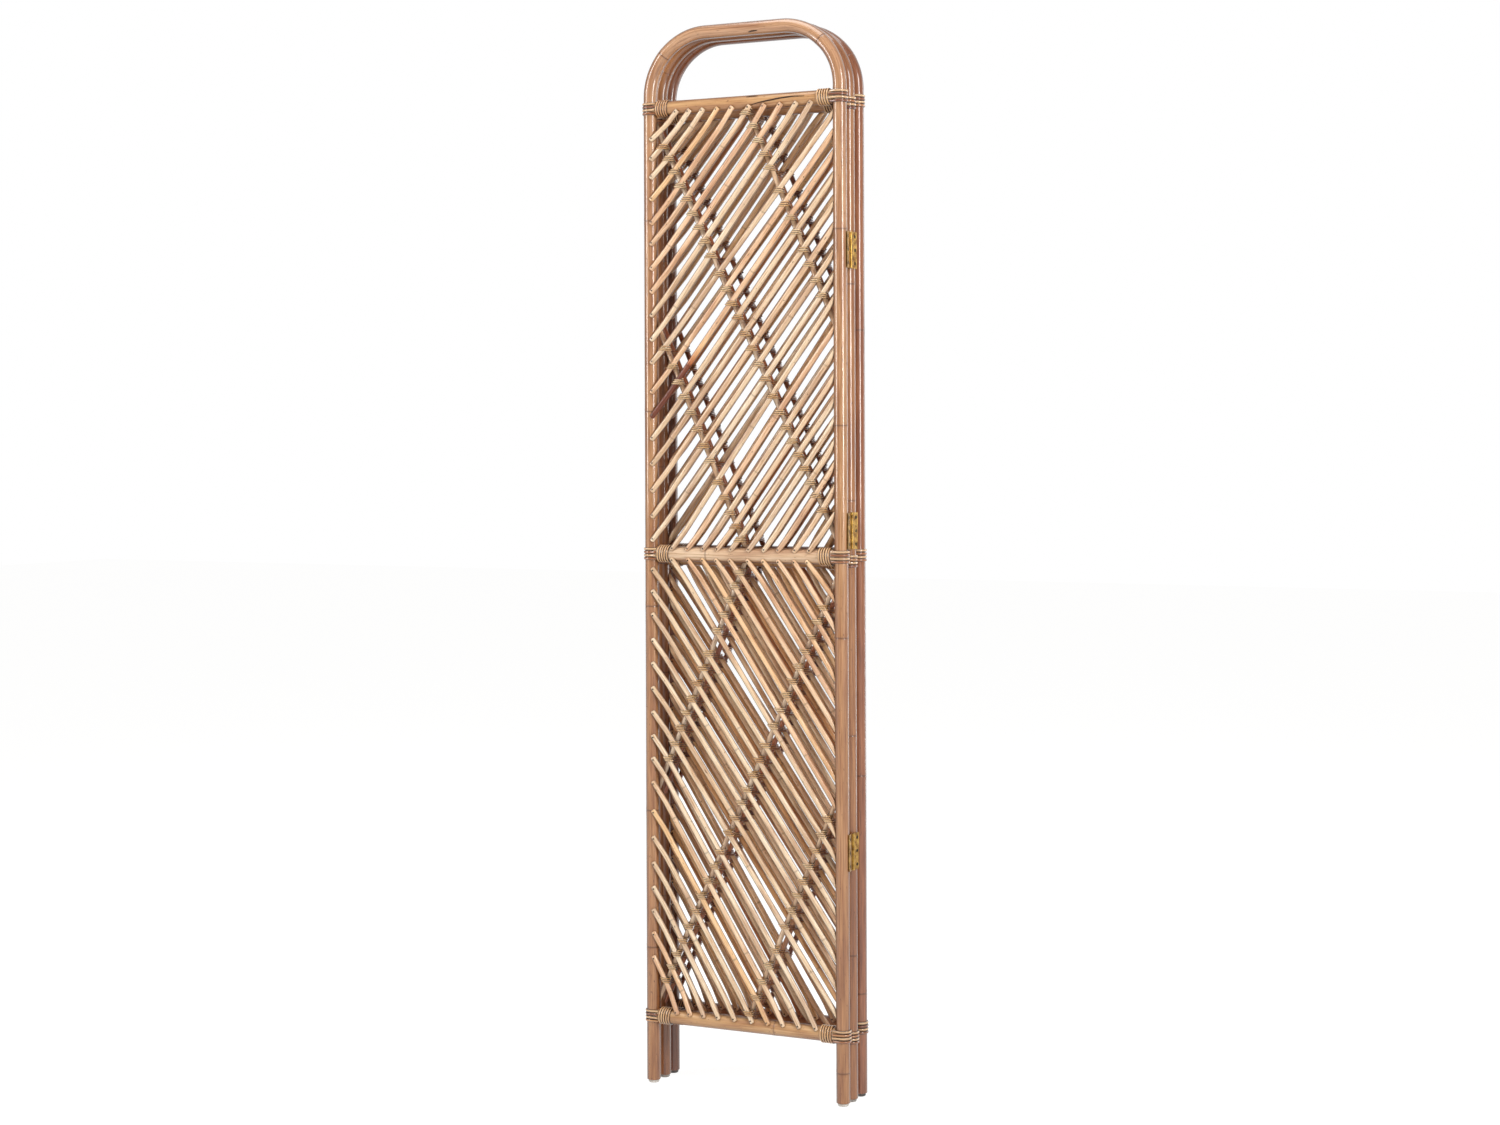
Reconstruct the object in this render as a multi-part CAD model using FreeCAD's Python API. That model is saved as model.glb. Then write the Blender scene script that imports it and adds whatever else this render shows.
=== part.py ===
import FreeCAD, Part
import math
import os

# A three-panel folding screen of bent rattan. Each panel is one bent pole with three crossbars,
# two lattices of slanting sticks on backing rods, peel bindings, and brass butt hinges between.
# X runs along the middle panel, -Y is the front, +Z is up. The origin is on the floor, below the
# middle of the folded screen. All lengths are in millimetres.

V = FreeCAD.Vector

# Driving dimensions of a panel
screen_height = 1780.0
post_spacing = 350.0
pole_d = 24.0
corner_bend_r = 104.0
top_bar_height = 1645.0
middle_bar_height = 894.0
bottom_bar_height = 114.0
top_bar_d = 25.0
middle_bar_d = 26.4
bottom_bar_d = 25.6
bar_tip_reach = 7.0
joint_gap = 0.1

# Driving dimensions of the lattices
stick_d = 9.4
rod_d = 9.0
stick_forward = 3.5
layer_gap = 0.1
post_seat_in = 11.0
bar_seat_in = 10.5
end_bury = 12.0

# Driving dimensions of the windings
bar_peel_d = 2.4
bar_peel_turns = 5
bar_peel_pitch = 4.4
bar_peel_start = 15.2
post_peel_d = 1.8
post_peel_strands = 4
post_peel_pitch = 5.4
post_peel_leg = 8.0
lash_peel_d = 1.5
lash_pitch = 2.1
lash_turns = 2
lash_edge_room = 11.0
lash_gap = 0.45
peel_gap = 0.12

# Driving dimensions of the brads and glides
brad_d = 1.2
brad_length = 9.0
brad_head_d = 2.6
brad_head_height = 0.5
glide_d = 18.0
glide_height = 5.0
glide_rim = 1.2
glide_pin_d = 3.0
glide_pin_length = 14.0

# Driving dimensions of the hinges
panel_pitch = 31.0
hinge_length = 60.0
hinge_heights = {"top": 1395.0, "middle": 936.0, "bottom": 412.0}
leaf_width = 19.0
leaf_thickness = 1.4
knuckle_count = 5
knuckle_d = 5.8
knuckle_gap = 0.3
hinge_pin_d = 3.0
pin_running_gap = 0.05
leaf_face_gap = 0.25
screw_d = 3.0
screw_length = 12.0
screw_head_d = 5.6
screw_count = 3
screw_end_margin = 8.0
screw_sink = 0.1
leaf_corner_r = 1.5

# Angles in degrees, which no length changes
leaf_tilt = 8.0
fan_angle = 1.0
peel_flare = 8.0

# Where the stick ends sit, as shares. On a post they are shares of the height between the two
# bars, from the lower bar up; on a bar they are shares of half the post spacing, from the middle.
upper_left_shares = (0.936, 0.893, 0.852, 0.803, 0.750, 0.703, 0.648, 0.596, 0.543,
                     0.489, 0.437, 0.371, 0.317, 0.266, 0.209, 0.150, 0.092, 0.039)
upper_high_shares = (-0.705, -0.567, -0.418, -0.263, -0.108, 0.073, 0.230, 0.402, 0.563, 0.717)
upper_right_shares = (0.962, 0.921, 0.875, 0.824, 0.764, 0.716, 0.659, 0.607, 0.558,
                      0.493, 0.442, 0.390, 0.338, 0.294, 0.244, 0.197, 0.146, 0.089)
upper_low_shares = (-0.742, -0.578, -0.409, -0.260, -0.113, 0.073, 0.236, 0.382, 0.554, 0.705)
lower_left_shares = (0.958, 0.910, 0.860, 0.805, 0.754, 0.701, 0.648, 0.596, 0.547,
                     0.495, 0.433, 0.376, 0.320, 0.267, 0.217, 0.167, 0.114)
lower_high_shares = (-0.745, -0.573, -0.418, -0.272, -0.126, 0.064, 0.227, 0.382, 0.545, 0.683)
lower_right_shares = (0.913, 0.852, 0.802, 0.747, 0.698, 0.643, 0.593, 0.538, 0.481,
                      0.422, 0.371, 0.317, 0.259, 0.207, 0.160, 0.103, 0.045)
lower_low_shares = (-0.722, -0.583, -0.435, -0.281, -0.108, 0.073, 0.241, 0.399, 0.563, 0.740)

# The backing rods: where each leaves one edge and reaches another, in the same shares
upper_rod_shares = ((("left", 0.955), ("right", 0.040)),
                    (("left", 0.511), ("low", -0.006)),
                    (("high", 0.030), ("right", 0.503)))
lower_rod_shares = ((("right", 0.953), ("left", 0.042)),
                    (("high", -0.012), ("left", 0.500)),
                    (("right", 0.495), ("low", 0.006)))

# Sizes worked out from the driving ones
half_spacing = post_spacing / 2
pole_r = pole_d / 2
stick_r = stick_d / 2
rod_r = rod_d / 2
rod_back = stick_r + rod_r + layer_gap - stick_forward
arch_height = screen_height - pole_r
bend_height = arch_height - corner_bend_r
bend_side = half_spacing - corner_bend_r
middle_drop = 1.5 * post_peel_pitch
tilt_cos = math.cos(math.radians(leaf_tilt))
tilt_sin = math.sin(math.radians(leaf_tilt))
leaf_face_r = pole_r + joint_gap + leaf_thickness
hinge_out = (leaf_face_r + leaf_face_gap - panel_pitch / 2 * tilt_sin) / tilt_cos
hinge_side = half_spacing + hinge_out
screw_from_pin = panel_pitch / 2 * tilt_cos + hinge_out * -tilt_sin

BAR_NAMES = ("top_bar", "middle_bar", "bottom_bar")


def bar_sizes(drop):
    """Height and diameter of each crossbar; drop is how much lower this panel's bars sit."""
    return {
        "top_bar": (top_bar_height - drop, top_bar_d),
        "middle_bar": (middle_bar_height - drop, middle_bar_d),
        "bottom_bar": (bottom_bar_height - drop, bottom_bar_d),
    }


def rod_between(start, end, radius):
    """A plain round rod from one point to another."""
    along = end - start
    return Part.makeCylinder(radius, along.Length, start, along)


def arc_from_corner(start, corner, end):
    """The arc that leaves start towards corner and reaches end from it."""
    reach = (corner - start).Length
    flatness = (end - start).Length / (2 * reach)
    middle = (start + end) * 0.5
    crown = corner + (middle - corner) * (1 / (1 + flatness))
    return Part.Arc(start, crown, end).toShape()


def biarc(start, start_dir, end, end_dir):
    """Two arcs that join two points smoothly, each with the direction given there."""
    span = end - start
    both = start_dir + end_dir
    a = 2 * start_dir.dot(end_dir) - 2
    b = -2 * span.dot(both)
    c = span.dot(span)
    if abs(a) < 1e-9:
        reach = -c / b
    else:
        reach = (-b - math.sqrt(b * b - 4 * a * c)) / (2 * a)
    first = start + start_dir * reach
    second = end - end_dir * reach
    join = (first + second) * 0.5
    return [arc_from_corner(start, first, join), arc_from_corner(join, second, end)]


def winding_edges(stations, lead):
    """Smooth edges through stations of (point, direction), with a straight lead at both ends."""
    edges = []
    first, first_dir = stations[0]
    last, last_dir = stations[-1]
    edges.append(Part.LineSegment(first - first_dir * lead, first).toShape())
    for (p0, t0), (p1, t1) in zip(stations, stations[1:]):
        span = p1 - p0
        if span.cross(t0).Length < 1e-6 * span.Length and span.cross(t1).Length < 1e-6 * span.Length:
            edges.append(Part.LineSegment(p0, p1).toShape())
        else:
            edges.extend(biarc(p0, t0, p1, t1))
    edges.append(Part.LineSegment(last, last + last_dir * lead).toShape())
    return edges


def tube(stations, diameter):
    """One unbroken round tube along the stations, and its least gap to itself."""
    edges = winding_edges(stations, diameter)
    start, direction = stations[0][0] - stations[0][1] * diameter, stations[0][1]
    ring = Part.Wire([Part.makeCircle(diameter / 2, start, direction)])
    solid = Part.Wire(edges).makePipeShell([ring], True, False)
    return solid, least_gap(edges, diameter)


def least_gap(edges, diameter):
    """Least open distance between stretches of one tube that lie three diameters apart along it."""
    points = []
    travelled = []
    length = 0.0
    for edge in edges:
        steps = 6
        for index in range(steps):
            share = index / steps
            at = edge.FirstParameter + share * (edge.LastParameter - edge.FirstParameter)
            points.append(edge.valueAt(at))
            travelled.append(length + share * edge.Length)
        length += edge.Length
    gap = None
    for index, point in enumerate(points):
        for other in range(index + 1, len(points)):
            if travelled[other] - travelled[index] < 3 * diameter:
                continue
            distance = (points[other] - point).Length - diameter
            gap = distance if gap is None else min(gap, distance)
    return gap


def pole():
    """One bent pole: two legs that run up into the rounded corners of the arch."""
    left = -half_spacing
    right = half_spacing
    foot = V(left, 0, glide_height)
    bend_low = V(left, 0, bend_height)
    bend_high = V(-bend_side, 0, arch_height)
    edges = [
        Part.LineSegment(foot, bend_low).toShape(),
        arc_from_corner(bend_low, V(left, 0, arch_height), bend_high),
        Part.LineSegment(bend_high, V(bend_side, 0, arch_height)).toShape(),
        arc_from_corner(V(bend_side, 0, arch_height), V(right, 0, arch_height),
                        V(right, 0, bend_height)),
        Part.LineSegment(V(right, 0, bend_height), V(right, 0, glide_height)).toShape(),
    ]
    ring = Part.Wire([Part.makeCircle(pole_r, foot, V(0, 0, 1))])
    return Part.Wire(edges).makePipeShell([ring], True, False)


def leg_cutters():
    """The two legs, fuller by the joint gap, for fitting what meets them."""
    cutters = []
    for side in (-1, 1):
        base = V(side * half_spacing, 0, glide_height)
        cutters.append(Part.makeCylinder(pole_r + joint_gap, bend_height, base))
    return cutters


def bar(height, diameter):
    """A crossbar whose ends are hollowed to fit round the legs."""
    reach = half_spacing - bar_tip_reach
    solid = rod_between(V(-reach, 0, height), V(reach, 0, height), diameter / 2)
    return solid.cut(leg_cutters())


def bar_cutters(bars):
    """The three crossbars, fuller by the joint gap."""
    cutters = []
    for height, diameter in bars.values():
        ends = V(-half_spacing, 0, height), V(half_spacing, 0, height)
        cutters.append(rod_between(ends[0], ends[1], diameter / 2 + joint_gap))
    return cutters


def seat(edge, share, low, high):
    """The place (across, height) where a stick or rod meets an edge of its half of the panel."""
    across = half_spacing - post_seat_in
    if edge == "left":
        return -across, low + share * (high - low)
    if edge == "right":
        return across, low + share * (high - low)
    if edge == "high":
        return share * half_spacing, high - bar_seat_in
    return share * half_spacing, low + bar_seat_in


def upper_seats(low, high):
    """Both ends of every upper stick; they climb to the right."""
    starts = [seat("left", share, low, high) for share in upper_left_shares]
    starts += [seat("low", share, low, high) for share in upper_low_shares]
    ends = [seat("high", share, low, high) for share in upper_high_shares]
    ends += [seat("right", share, low, high) for share in upper_right_shares]
    return list(zip(starts, ends))


def lower_seats(low, high):
    """Both ends of every lower stick; they fall to the right."""
    starts = [seat("high", share, low, high) for share in reversed(lower_high_shares)]
    starts += [seat("left", share, low, high) for share in lower_left_shares]
    ends = [seat("right", share, low, high) for share in lower_right_shares]
    ends += [seat("low", share, low, high) for share in reversed(lower_low_shares)]
    return list(zip(starts, ends))


def rod_seats(table, low, high):
    """Both ends of every backing rod of one half."""
    return [(seat(*first, low, high), seat(*second, low, high)) for first, second in table]


def lattice_bars(seats, depth, radius, cutters):
    """Round sticks between their seats, with ends cut to fit the legs and crossbars."""
    solids = []
    for (x0, z0), (x1, z1) in seats:
        start = V(x0, depth, z0)
        end = V(x1, depth, z1)
        along = (end - start).normalize()
        stick = rod_between(start - along * end_bury, end + along * end_bury, radius)
        solids.append(stick.cut(cutters))
    return solids


def crossings(sticks, rods, low, high):
    """Every place where a stick crosses a rod, clear of the frame, with both directions."""
    found = []
    for (ax, az), (bx, bz) in sticks:
        for (cx, cz), (dx, dz) in rods:
            ux, uz = bx - ax, bz - az
            vx, vz = dx - cx, dz - cz
            cross = ux * vz - uz * vx
            along = ((cx - ax) * vz - (cz - az) * vx) / cross
            x, z = ax + along * ux, az + along * uz
            inside_x = abs(x) < half_spacing - pole_r - lash_edge_room
            if inside_x and low + lash_edge_room < z < high - lash_edge_room:
                found.append((x, z, V(ux, 0, uz).normalize(), V(vx, 0, vz).normalize()))
    return found


def lashing(x, z, stick_way, rod_way, face):
    """Peel wound round a stick and the rod behind it, in level turns."""
    wire_r = lash_peel_d / 2
    front = face * stick_forward
    back = -face * rod_back
    stick_half = stick_r / abs(stick_way.z) + wire_r + lash_gap
    rod_half = rod_r / abs(rod_way.z) + wire_r + lash_gap
    front_crown = front + face * (stick_r + wire_r + lash_gap)
    back_crown = back - face * (rod_r + wire_r + lash_gap)
    corners = [(-stick_half, front, 0, face, True), (0, front_crown, 1, 0, True),
               (stick_half, front, 0, -face, True), (rod_half, back, 0, -face, False),
               (0, back_crown, -1, 0, False), (-rod_half, back, 0, face, False)]
    per_turn = len(corners)
    total = lash_turns * per_turn + 3
    rise = lash_pitch / per_turn
    stations = []
    for index in range(total):
        lift = (index - (total - 1) / 2) * rise
        across, depth, dir_x, dir_y, on_stick = corners[index % per_turn]
        way = stick_way if on_stick else rod_way
        across += lift * way.x / way.z
        climb = lash_pitch / (2 * (stick_half + rod_half) + 2 * abs(back_crown - front_crown))
        direction = V(dir_x, dir_y, climb).normalize()
        stations.append((V(x + across, depth, z + lift), direction))
    return tube(stations, lash_peel_d)


def bar_winding(height, diameter, side, name):
    """Turns of peel round one end of a crossbar."""
    radius = diameter / 2 + peel_gap + bar_peel_d / 2
    climb = bar_peel_pitch / (2 * math.pi * radius)
    start = half_spacing - bar_peel_start
    stations = []
    for quarter in range(4 * bar_peel_turns + 1):
        angle = math.pi / 2 * quarter
        across = side * (start - bar_peel_pitch * quarter / 4)
        point = V(across, radius * math.sin(angle), height + radius * math.cos(angle))
        direction = V(-side * climb, math.cos(angle), -math.sin(angle)).normalize()
        stations.append((point, direction))
    solid, gap = tube(stations, bar_peel_d)
    print("bar winding", name, side, "least gap", round(gap, 2))
    return solid


def post_binding(height, side, name):
    """Level strands round the outside of a leg, turned back by the ends of the crossbar."""
    radius = pole_r + peel_gap + post_peel_d / 2
    flare = math.radians(peel_flare)
    centre = side * half_spacing
    turn_x = centre - side * post_peel_leg
    touch_x = centre + side * radius * math.sin(flare)
    touch_y = radius * math.cos(flare)
    turn_y = touch_y + (post_peel_leg + radius * math.sin(flare)) * math.tan(flare)
    low = height - (post_peel_strands - 1) / 2 * post_peel_pitch
    inward = V(-side * math.cos(flare), 0, 0)
    stations = []
    for strand in range(post_peel_strands):
        z = low + strand * post_peel_pitch
        way = 1 if strand % 2 == 0 else -1
        toward_post = V(-inward.x, way * math.sin(flare), 0)
        from_post = V(inward.x, way * math.sin(flare), 0)
        stations.append((V(turn_x, -way * turn_y, z), toward_post))
        stations.append((V(touch_x, -way * touch_y, z), toward_post))
        stations.append((V(centre + side * radius, 0, z), V(0, way, 0)))
        stations.append((V(touch_x, way * touch_y, z), from_post))
        stations.append((V(turn_x, way * turn_y, z), from_post))
    solid, gap = tube(stations, post_peel_d)
    print("post binding", name, side, "least gap", round(gap, 2))
    return solid


def joint_wraps(bars):
    """Both kinds of peel winding at each of the six joints of a panel."""
    solids = []
    for name in BAR_NAMES:
        height, diameter = bars[name]
        for side in (-1, 1):
            solids.append(bar_winding(height, diameter, side, name))
            solids.append(post_binding(height, side, name))
    return solids


def brad(seat_x, seat_z, face, axis_x, axis_z):
    """A brad driven through a stick's end towards the middle of the piece that carries it."""
    front = V(seat_x, face * (stick_forward + stick_r), seat_z)
    goal = V(axis_x, 0, axis_z)
    inward = (goal - front).normalize()
    shank = Part.makeCylinder(brad_d / 2, brad_length, front, inward)
    head = Part.makeCylinder(brad_head_d / 2, brad_head_height, front - inward * brad_head_height,
                             inward)
    return shank.fuse(head).removeSplitter()


def brads(seats, face, low, high):
    """A brad at both ends of every stick of one half."""
    solids = []
    for ends in seats:
        for x, z in ends:
            if abs(abs(x) - (half_spacing - post_seat_in)) < joint_gap:
                solids.append(brad(x, z, face, math.copysign(half_spacing, x), z))
            elif z > (low + high) / 2:
                solids.append(brad(x, z, face, x, high))
            else:
                solids.append(brad(x, z, face, x, low))
    return solids


def glides():
    """A nail-on glide under each foot."""
    solids = []
    for side in (-1, 1):
        base = V(side * half_spacing, 0, 0)
        disc = Part.makeCylinder(glide_d / 2, glide_height, base)
        disc = disc.makeChamfer(glide_rim, [disc.Edges[2]])
        shank = Part.makeCylinder(glide_pin_d / 2, glide_height + glide_pin_length, base)
        solids.append(disc.fuse(shank).removeSplitter())
    return solids


def leaf_frame(side, away):
    """The pin line and the two plan directions of a leaf: along it and out of its face."""
    pin = V(side * hinge_side, away * panel_pitch / 2, 0)
    along = V(side * tilt_sin, -away * tilt_cos, 0)
    outward = V(side * tilt_cos, away * tilt_sin, 0)
    return pin, along, outward


def slab(corner, along, outward, length, thickness, height):
    """A square-cornered block from a corner, a length along and a thickness inwards."""
    far = corner + along * length
    inner = outward * -thickness
    base = Part.makePolygon([corner, far, far + inner, corner + inner, corner])
    return Part.Face(base).extrude(V(0, 0, height))


def screw_heights(middle):
    """Heights of the screws of a leaf."""
    reach = hinge_length / 2 - screw_end_margin
    return [middle + reach * (2 * index / (screw_count - 1) - 1) for index in range(screw_count)]


def hinge_leaf(side, away, middle, own_first):
    """One leaf with its knuckles; own_first says whether it has the end knuckles."""
    pin, along, outward = leaf_frame(side, away)
    base = V(0, 0, middle - hinge_length / 2)
    face = pin - outward * leaf_face_gap + base
    clear = knuckle_d / 2 + knuckle_gap
    solid = slab(face + along * clear, along, outward, leaf_width - clear, leaf_thickness,
                 hinge_length)
    step = hinge_length / knuckle_count
    for index in range(knuckle_count):
        if (index % 2 == 0) == own_first:
            trim = knuckle_gap / 2
            low = V(0, 0, index * step + trim)
            tall = step - knuckle_gap
            solid = solid.fuse([
                Part.makeCylinder(knuckle_d / 2, tall, pin + base + low),
                slab(face + low, along, outward, clear + leaf_thickness, leaf_thickness, tall),
            ])
    bore = hinge_pin_d / 2 + (0 if own_first else pin_running_gap)
    cutters = [Part.makeCylinder(bore, hinge_length, pin + base)]
    hole_r = screw_d / 2 + joint_gap
    rim_r = screw_head_d / 2 + joint_gap + screw_sink
    for z in screw_heights(middle):
        centre = pin + along * screw_from_pin - outward * leaf_face_gap + V(0, 0, z)
        cutters.append(Part.makeCylinder(hole_r, leaf_thickness, centre, -outward))
        cutters.append(Part.makeCone(rim_r, hole_r, rim_r - hole_r, centre, -outward))
    solid = solid.cut(cutters).removeSplitter()
    corners = [edge for edge in solid.Edges if is_leaf_corner(edge, pin, along, outward)]
    return solid.makeFillet(leaf_corner_r, corners)


def is_leaf_corner(edge, pin, along, outward):
    """True for the two short edges at the free corners of a leaf."""
    ends = [vertex.Point for vertex in edge.Vertexes]
    if len(ends) != 2:
        return False
    at_rim = all(abs((point - pin).dot(along) - leaf_width) < joint_gap for point in ends)
    through = abs((ends[1] - ends[0]).dot(outward))
    return at_rim and abs(through - leaf_thickness) < joint_gap


def hinge_pin(side, away, middle):
    """The pin of a hinge."""
    pin, _, _ = leaf_frame(side, away)
    return Part.makeCylinder(hinge_pin_d / 2, hinge_length, pin + V(0, 0, middle - hinge_length / 2))


def leaf_screws(side, away):
    """The countersunk screws that hold one panel's leaves along one side."""
    pin, along, outward = leaf_frame(side, away)
    solids = []
    for middle in hinge_heights.values():
        for z in screw_heights(middle):
            top = pin + along * screw_from_pin - outward * (leaf_face_gap + screw_sink) + V(0, 0, z)
            sink = (screw_head_d - screw_d) / 2
            head = Part.makeCone(screw_head_d / 2, screw_d / 2, sink, top, -outward)
            shank = Part.makeCylinder(screw_d / 2, screw_length, top - outward * sink, -outward)
            solids.append(head.fuse(shank).removeSplitter())
    return solids


def panel(label, face, drop):
    """All pieces of one panel, standing on the origin; face is -1 where the sticks look to -Y."""
    bars = bar_sizes(drop)
    cutters = leg_cutters() + bar_cutters(bars)
    pieces = {"pole": pole()}
    for name in BAR_NAMES:
        pieces[name] = bar(*bars[name])
    levels = {"upper": (bars["middle_bar"][0], bars["top_bar"][0]),
              "lower": (bars["bottom_bar"][0], bars["middle_bar"][0])}
    plans = {"upper": (upper_seats, upper_rod_shares), "lower": (lower_seats, lower_rod_shares)}
    lashings = []
    nails = []
    gaps = []
    for half, (low, high) in levels.items():
        seats_of, rod_table = plans[half]
        sticks = seats_of(low, high)
        rods = rod_seats(rod_table, low, high)
        pieces[half + "_sticks"] = lattice_bars(sticks, face * stick_forward, stick_r, cutters)
        pieces[half + "_rods"] = lattice_bars(rods, -face * rod_back, rod_r, cutters)
        nails.extend(brads(sticks, face, low, high))
        for x, z, stick_way, rod_way in crossings(sticks, rods, low, high):
            solid, gap = lashing(x, z, stick_way, rod_way, face)
            lashings.append(solid)
            gaps.append(gap)
    print(label, len(lashings), "lashings, least gap", round(min(gaps), 2))
    pieces["joint_wraps"] = joint_wraps(bars)
    pieces["lashings"] = lashings
    pieces["nails"] = nails
    pieces["glides"] = glides()
    return pieces


def hinge_set(place, side, away, inner, outer):
    """The three hinges on one side: leaves on the inner and the outer panel, and pins."""
    pieces = {}
    for level, middle in hinge_heights.items():
        stem = place + "_" + level + "_hinge_"
        pieces[stem + inner + "_leaf"] = (inner, hinge_leaf(side, away, middle, True))
        pieces[stem + outer + "_leaf"] = (outer, hinge_leaf(side, -away, middle, False))
        pieces[stem + "pin"] = (inner, hinge_pin(side, away, middle))
    return pieces


def swing(shape, side):
    """Carry an outer panel's piece from its own place to where the fanned screen holds it."""
    away = -side
    solid = shape.copy()
    solid.translate(V(0, away * panel_pitch, 0))
    solid.rotate(V(side * hinge_side, away * panel_pitch / 2, 0), V(0, 0, 1), fan_angle)
    return solid


def save(name, shape):
    """Write one sub-part, a single solid or a group of separate ones."""
    solids = shape if isinstance(shape, list) else [shape]
    found = [solid for piece in solids for solid in piece.Solids]
    group = found[0] if len(found) == 1 else Part.makeCompound(found)
    group.exportStep("parts/" + name + ".step")
    print(name, len(found), "solids", round(sum(solid.Volume for solid in found), 1), "mm3")


def placed(shape, side):
    """A piece or a group of pieces in its resting place; side 0 is the middle panel."""
    group = shape if isinstance(shape, list) else [shape]
    return [piece if side == 0 else swing(piece, side) for piece in group]


def main():
    os.makedirs("parts", exist_ok=True)
    facing_front = panel("front and back panels", -1, 0)
    facing_back = panel("middle panel", 1, middle_drop)
    for label, side, pieces in (("front", 1, facing_front), ("middle", 0, facing_back),
                                ("back", -1, facing_front)):
        for name, shape in pieces.items():
            save(label + "_" + name, placed(shape, side))
    sides = {"front": 1, "middle": 0, "back": -1}
    for place, side, outer in (("right", 1, "front"), ("left", -1, "back")):
        away = -side
        for name, (owner, shape) in hinge_set(place, side, away, "middle", outer).items():
            save(name, placed(shape, sides[owner]))
        save("middle_" + place + "_screws", leaf_screws(side, away))
        save(outer + "_screws", placed(leaf_screws(side, -away), side))
    print("hinge pins at x", round(hinge_side, 3), "y", round(panel_pitch / 2, 3))
    print("middle panel's bars lower by", middle_drop, "rods behind by", round(rod_back, 2))


main()
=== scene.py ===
# %% [markdown]
# This lesson dresses a folding screen of bent rattan. Three tall panels fold flat on small brass
# hinges. Each panel is a pole bent into two legs and an arch, three crossbars, and two lattices of
# slanting sticks, nailed to the frame and lashed with peel to thin rods behind them.
#
# The measured model comes first, because every cane, strip and nail takes its place from it. The
# cells then go from the camera and the light to the materials and to the pieces themselves.

# %% Load the measured model
import math
import random

import bpy
import numpy as np
from mathutils import Matrix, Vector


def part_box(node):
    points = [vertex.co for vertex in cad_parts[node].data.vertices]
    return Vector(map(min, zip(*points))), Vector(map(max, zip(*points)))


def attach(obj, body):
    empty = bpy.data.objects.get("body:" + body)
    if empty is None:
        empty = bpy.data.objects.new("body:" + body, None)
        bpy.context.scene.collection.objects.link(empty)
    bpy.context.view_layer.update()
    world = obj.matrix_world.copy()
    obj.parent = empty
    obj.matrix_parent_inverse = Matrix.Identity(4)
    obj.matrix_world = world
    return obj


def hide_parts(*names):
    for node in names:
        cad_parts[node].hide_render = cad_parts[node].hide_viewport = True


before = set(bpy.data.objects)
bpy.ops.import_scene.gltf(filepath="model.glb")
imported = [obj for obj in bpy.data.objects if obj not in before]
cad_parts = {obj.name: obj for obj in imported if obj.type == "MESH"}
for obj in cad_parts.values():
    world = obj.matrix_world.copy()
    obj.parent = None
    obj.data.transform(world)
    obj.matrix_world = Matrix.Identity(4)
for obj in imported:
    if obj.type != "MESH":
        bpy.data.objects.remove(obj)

MM = 0.001
FULL_TURN = 2 * math.pi
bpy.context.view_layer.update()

# %% [markdown]
# The camera stands where a photographer would: about four metres off, a little to the right, at
# chest height and held level. A level camera keeps the legs upright, and a lens shift brings the
# tall screen into the frame without tilting. Its place was fitted to the edges of the three panels.

# %% Camera
CAMERA_PLACE = (1.8239, -3.5979, 1.0810)
CAMERA_HEADING = math.radians(26.97)
CAMERA_ROLL = math.radians(-0.2104)
CAMERA_LENS = 57.84
CAMERA_SENSOR = 36
CAMERA_SHIFT = -0.0800
CAMERA_REACH = 50


def put_in_scene(name, data, matrix=Matrix.Identity(4)):
    """A new object in the scene."""
    thing = bpy.data.objects.new(name, data)
    bpy.context.scene.collection.objects.link(thing)
    thing.matrix_world = matrix
    return thing


def level_look(place, heading):
    """Where a camera or a lamp stands that looks level, turned by a heading."""
    return (Matrix.Translation(place) @ Matrix.Rotation(heading, 4, "Z")
            @ Matrix.Rotation(math.pi / 2, 4, "X"))


def make_camera():
    """A level camera, turned to its left towards the screen, with a small lens shift."""
    data = bpy.data.cameras.new("Camera")
    data.lens = CAMERA_LENS
    data.sensor_width = CAMERA_SENSOR
    data.shift_y = CAMERA_SHIFT
    data.clip_end = CAMERA_REACH
    look = level_look(CAMERA_PLACE, CAMERA_HEADING) @ Matrix.Rotation(CAMERA_ROLL, 4, "Z")
    bpy.context.scene.camera = put_in_scene("Camera", data, look)


make_camera()
print("camera is", round(math.hypot(*CAMERA_PLACE[:2]), 2), "m from the screen")

# %% [markdown]
# Colours are written as sRGB hex codes, as a paint chart gives them, and one function turns them
# into the linear values that shaders work in. One more function adds a node to a material: it sets
# the node's options, fills or links its sockets, and hands the node back.
#
# A few short functions on top of it add what every material needs: a ramp, a mix of two colours, a
# change of range, arithmetic on two values, noise with grains of a given size, and relief.

# %% Colour and node helpers
def linear(code):
    """The linear colour of an sRGB hex code."""
    parts = [int(code[start:start + 2], 16) / 255 for start in (1, 3, 5)]
    bright = [c / 12.92 if c <= 0.04045 else ((c + 0.055) / 1.055) ** 2.4 for c in parts]
    return (*bright, 1.0)


def add_node(tree, kind, sockets=None, **options):
    """Add a shader node with its options, and with its sockets set or linked."""
    node = tree.nodes.new(kind)
    for name, value in options.items():
        setattr(node, name, value)
    for key, value in (sockets or {}).items():
        if isinstance(value, bpy.types.NodeSocket):
            tree.links.new(value, node.inputs[key])
        else:
            node.inputs[key].default_value = value
    return node


def colour_ramp(tree, value, stops):
    """The colour that a value has on a ramp of places and hex codes."""
    node = add_node(tree, "ShaderNodeValToRGB", {0: value})
    ramp = node.color_ramp.elements
    while len(ramp) < len(stops):
        ramp.new(0.5)
    for stop, (place, colour) in zip(ramp, stops):
        stop.position = place
        stop.color = linear(colour)
    return node.outputs[0]


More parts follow.
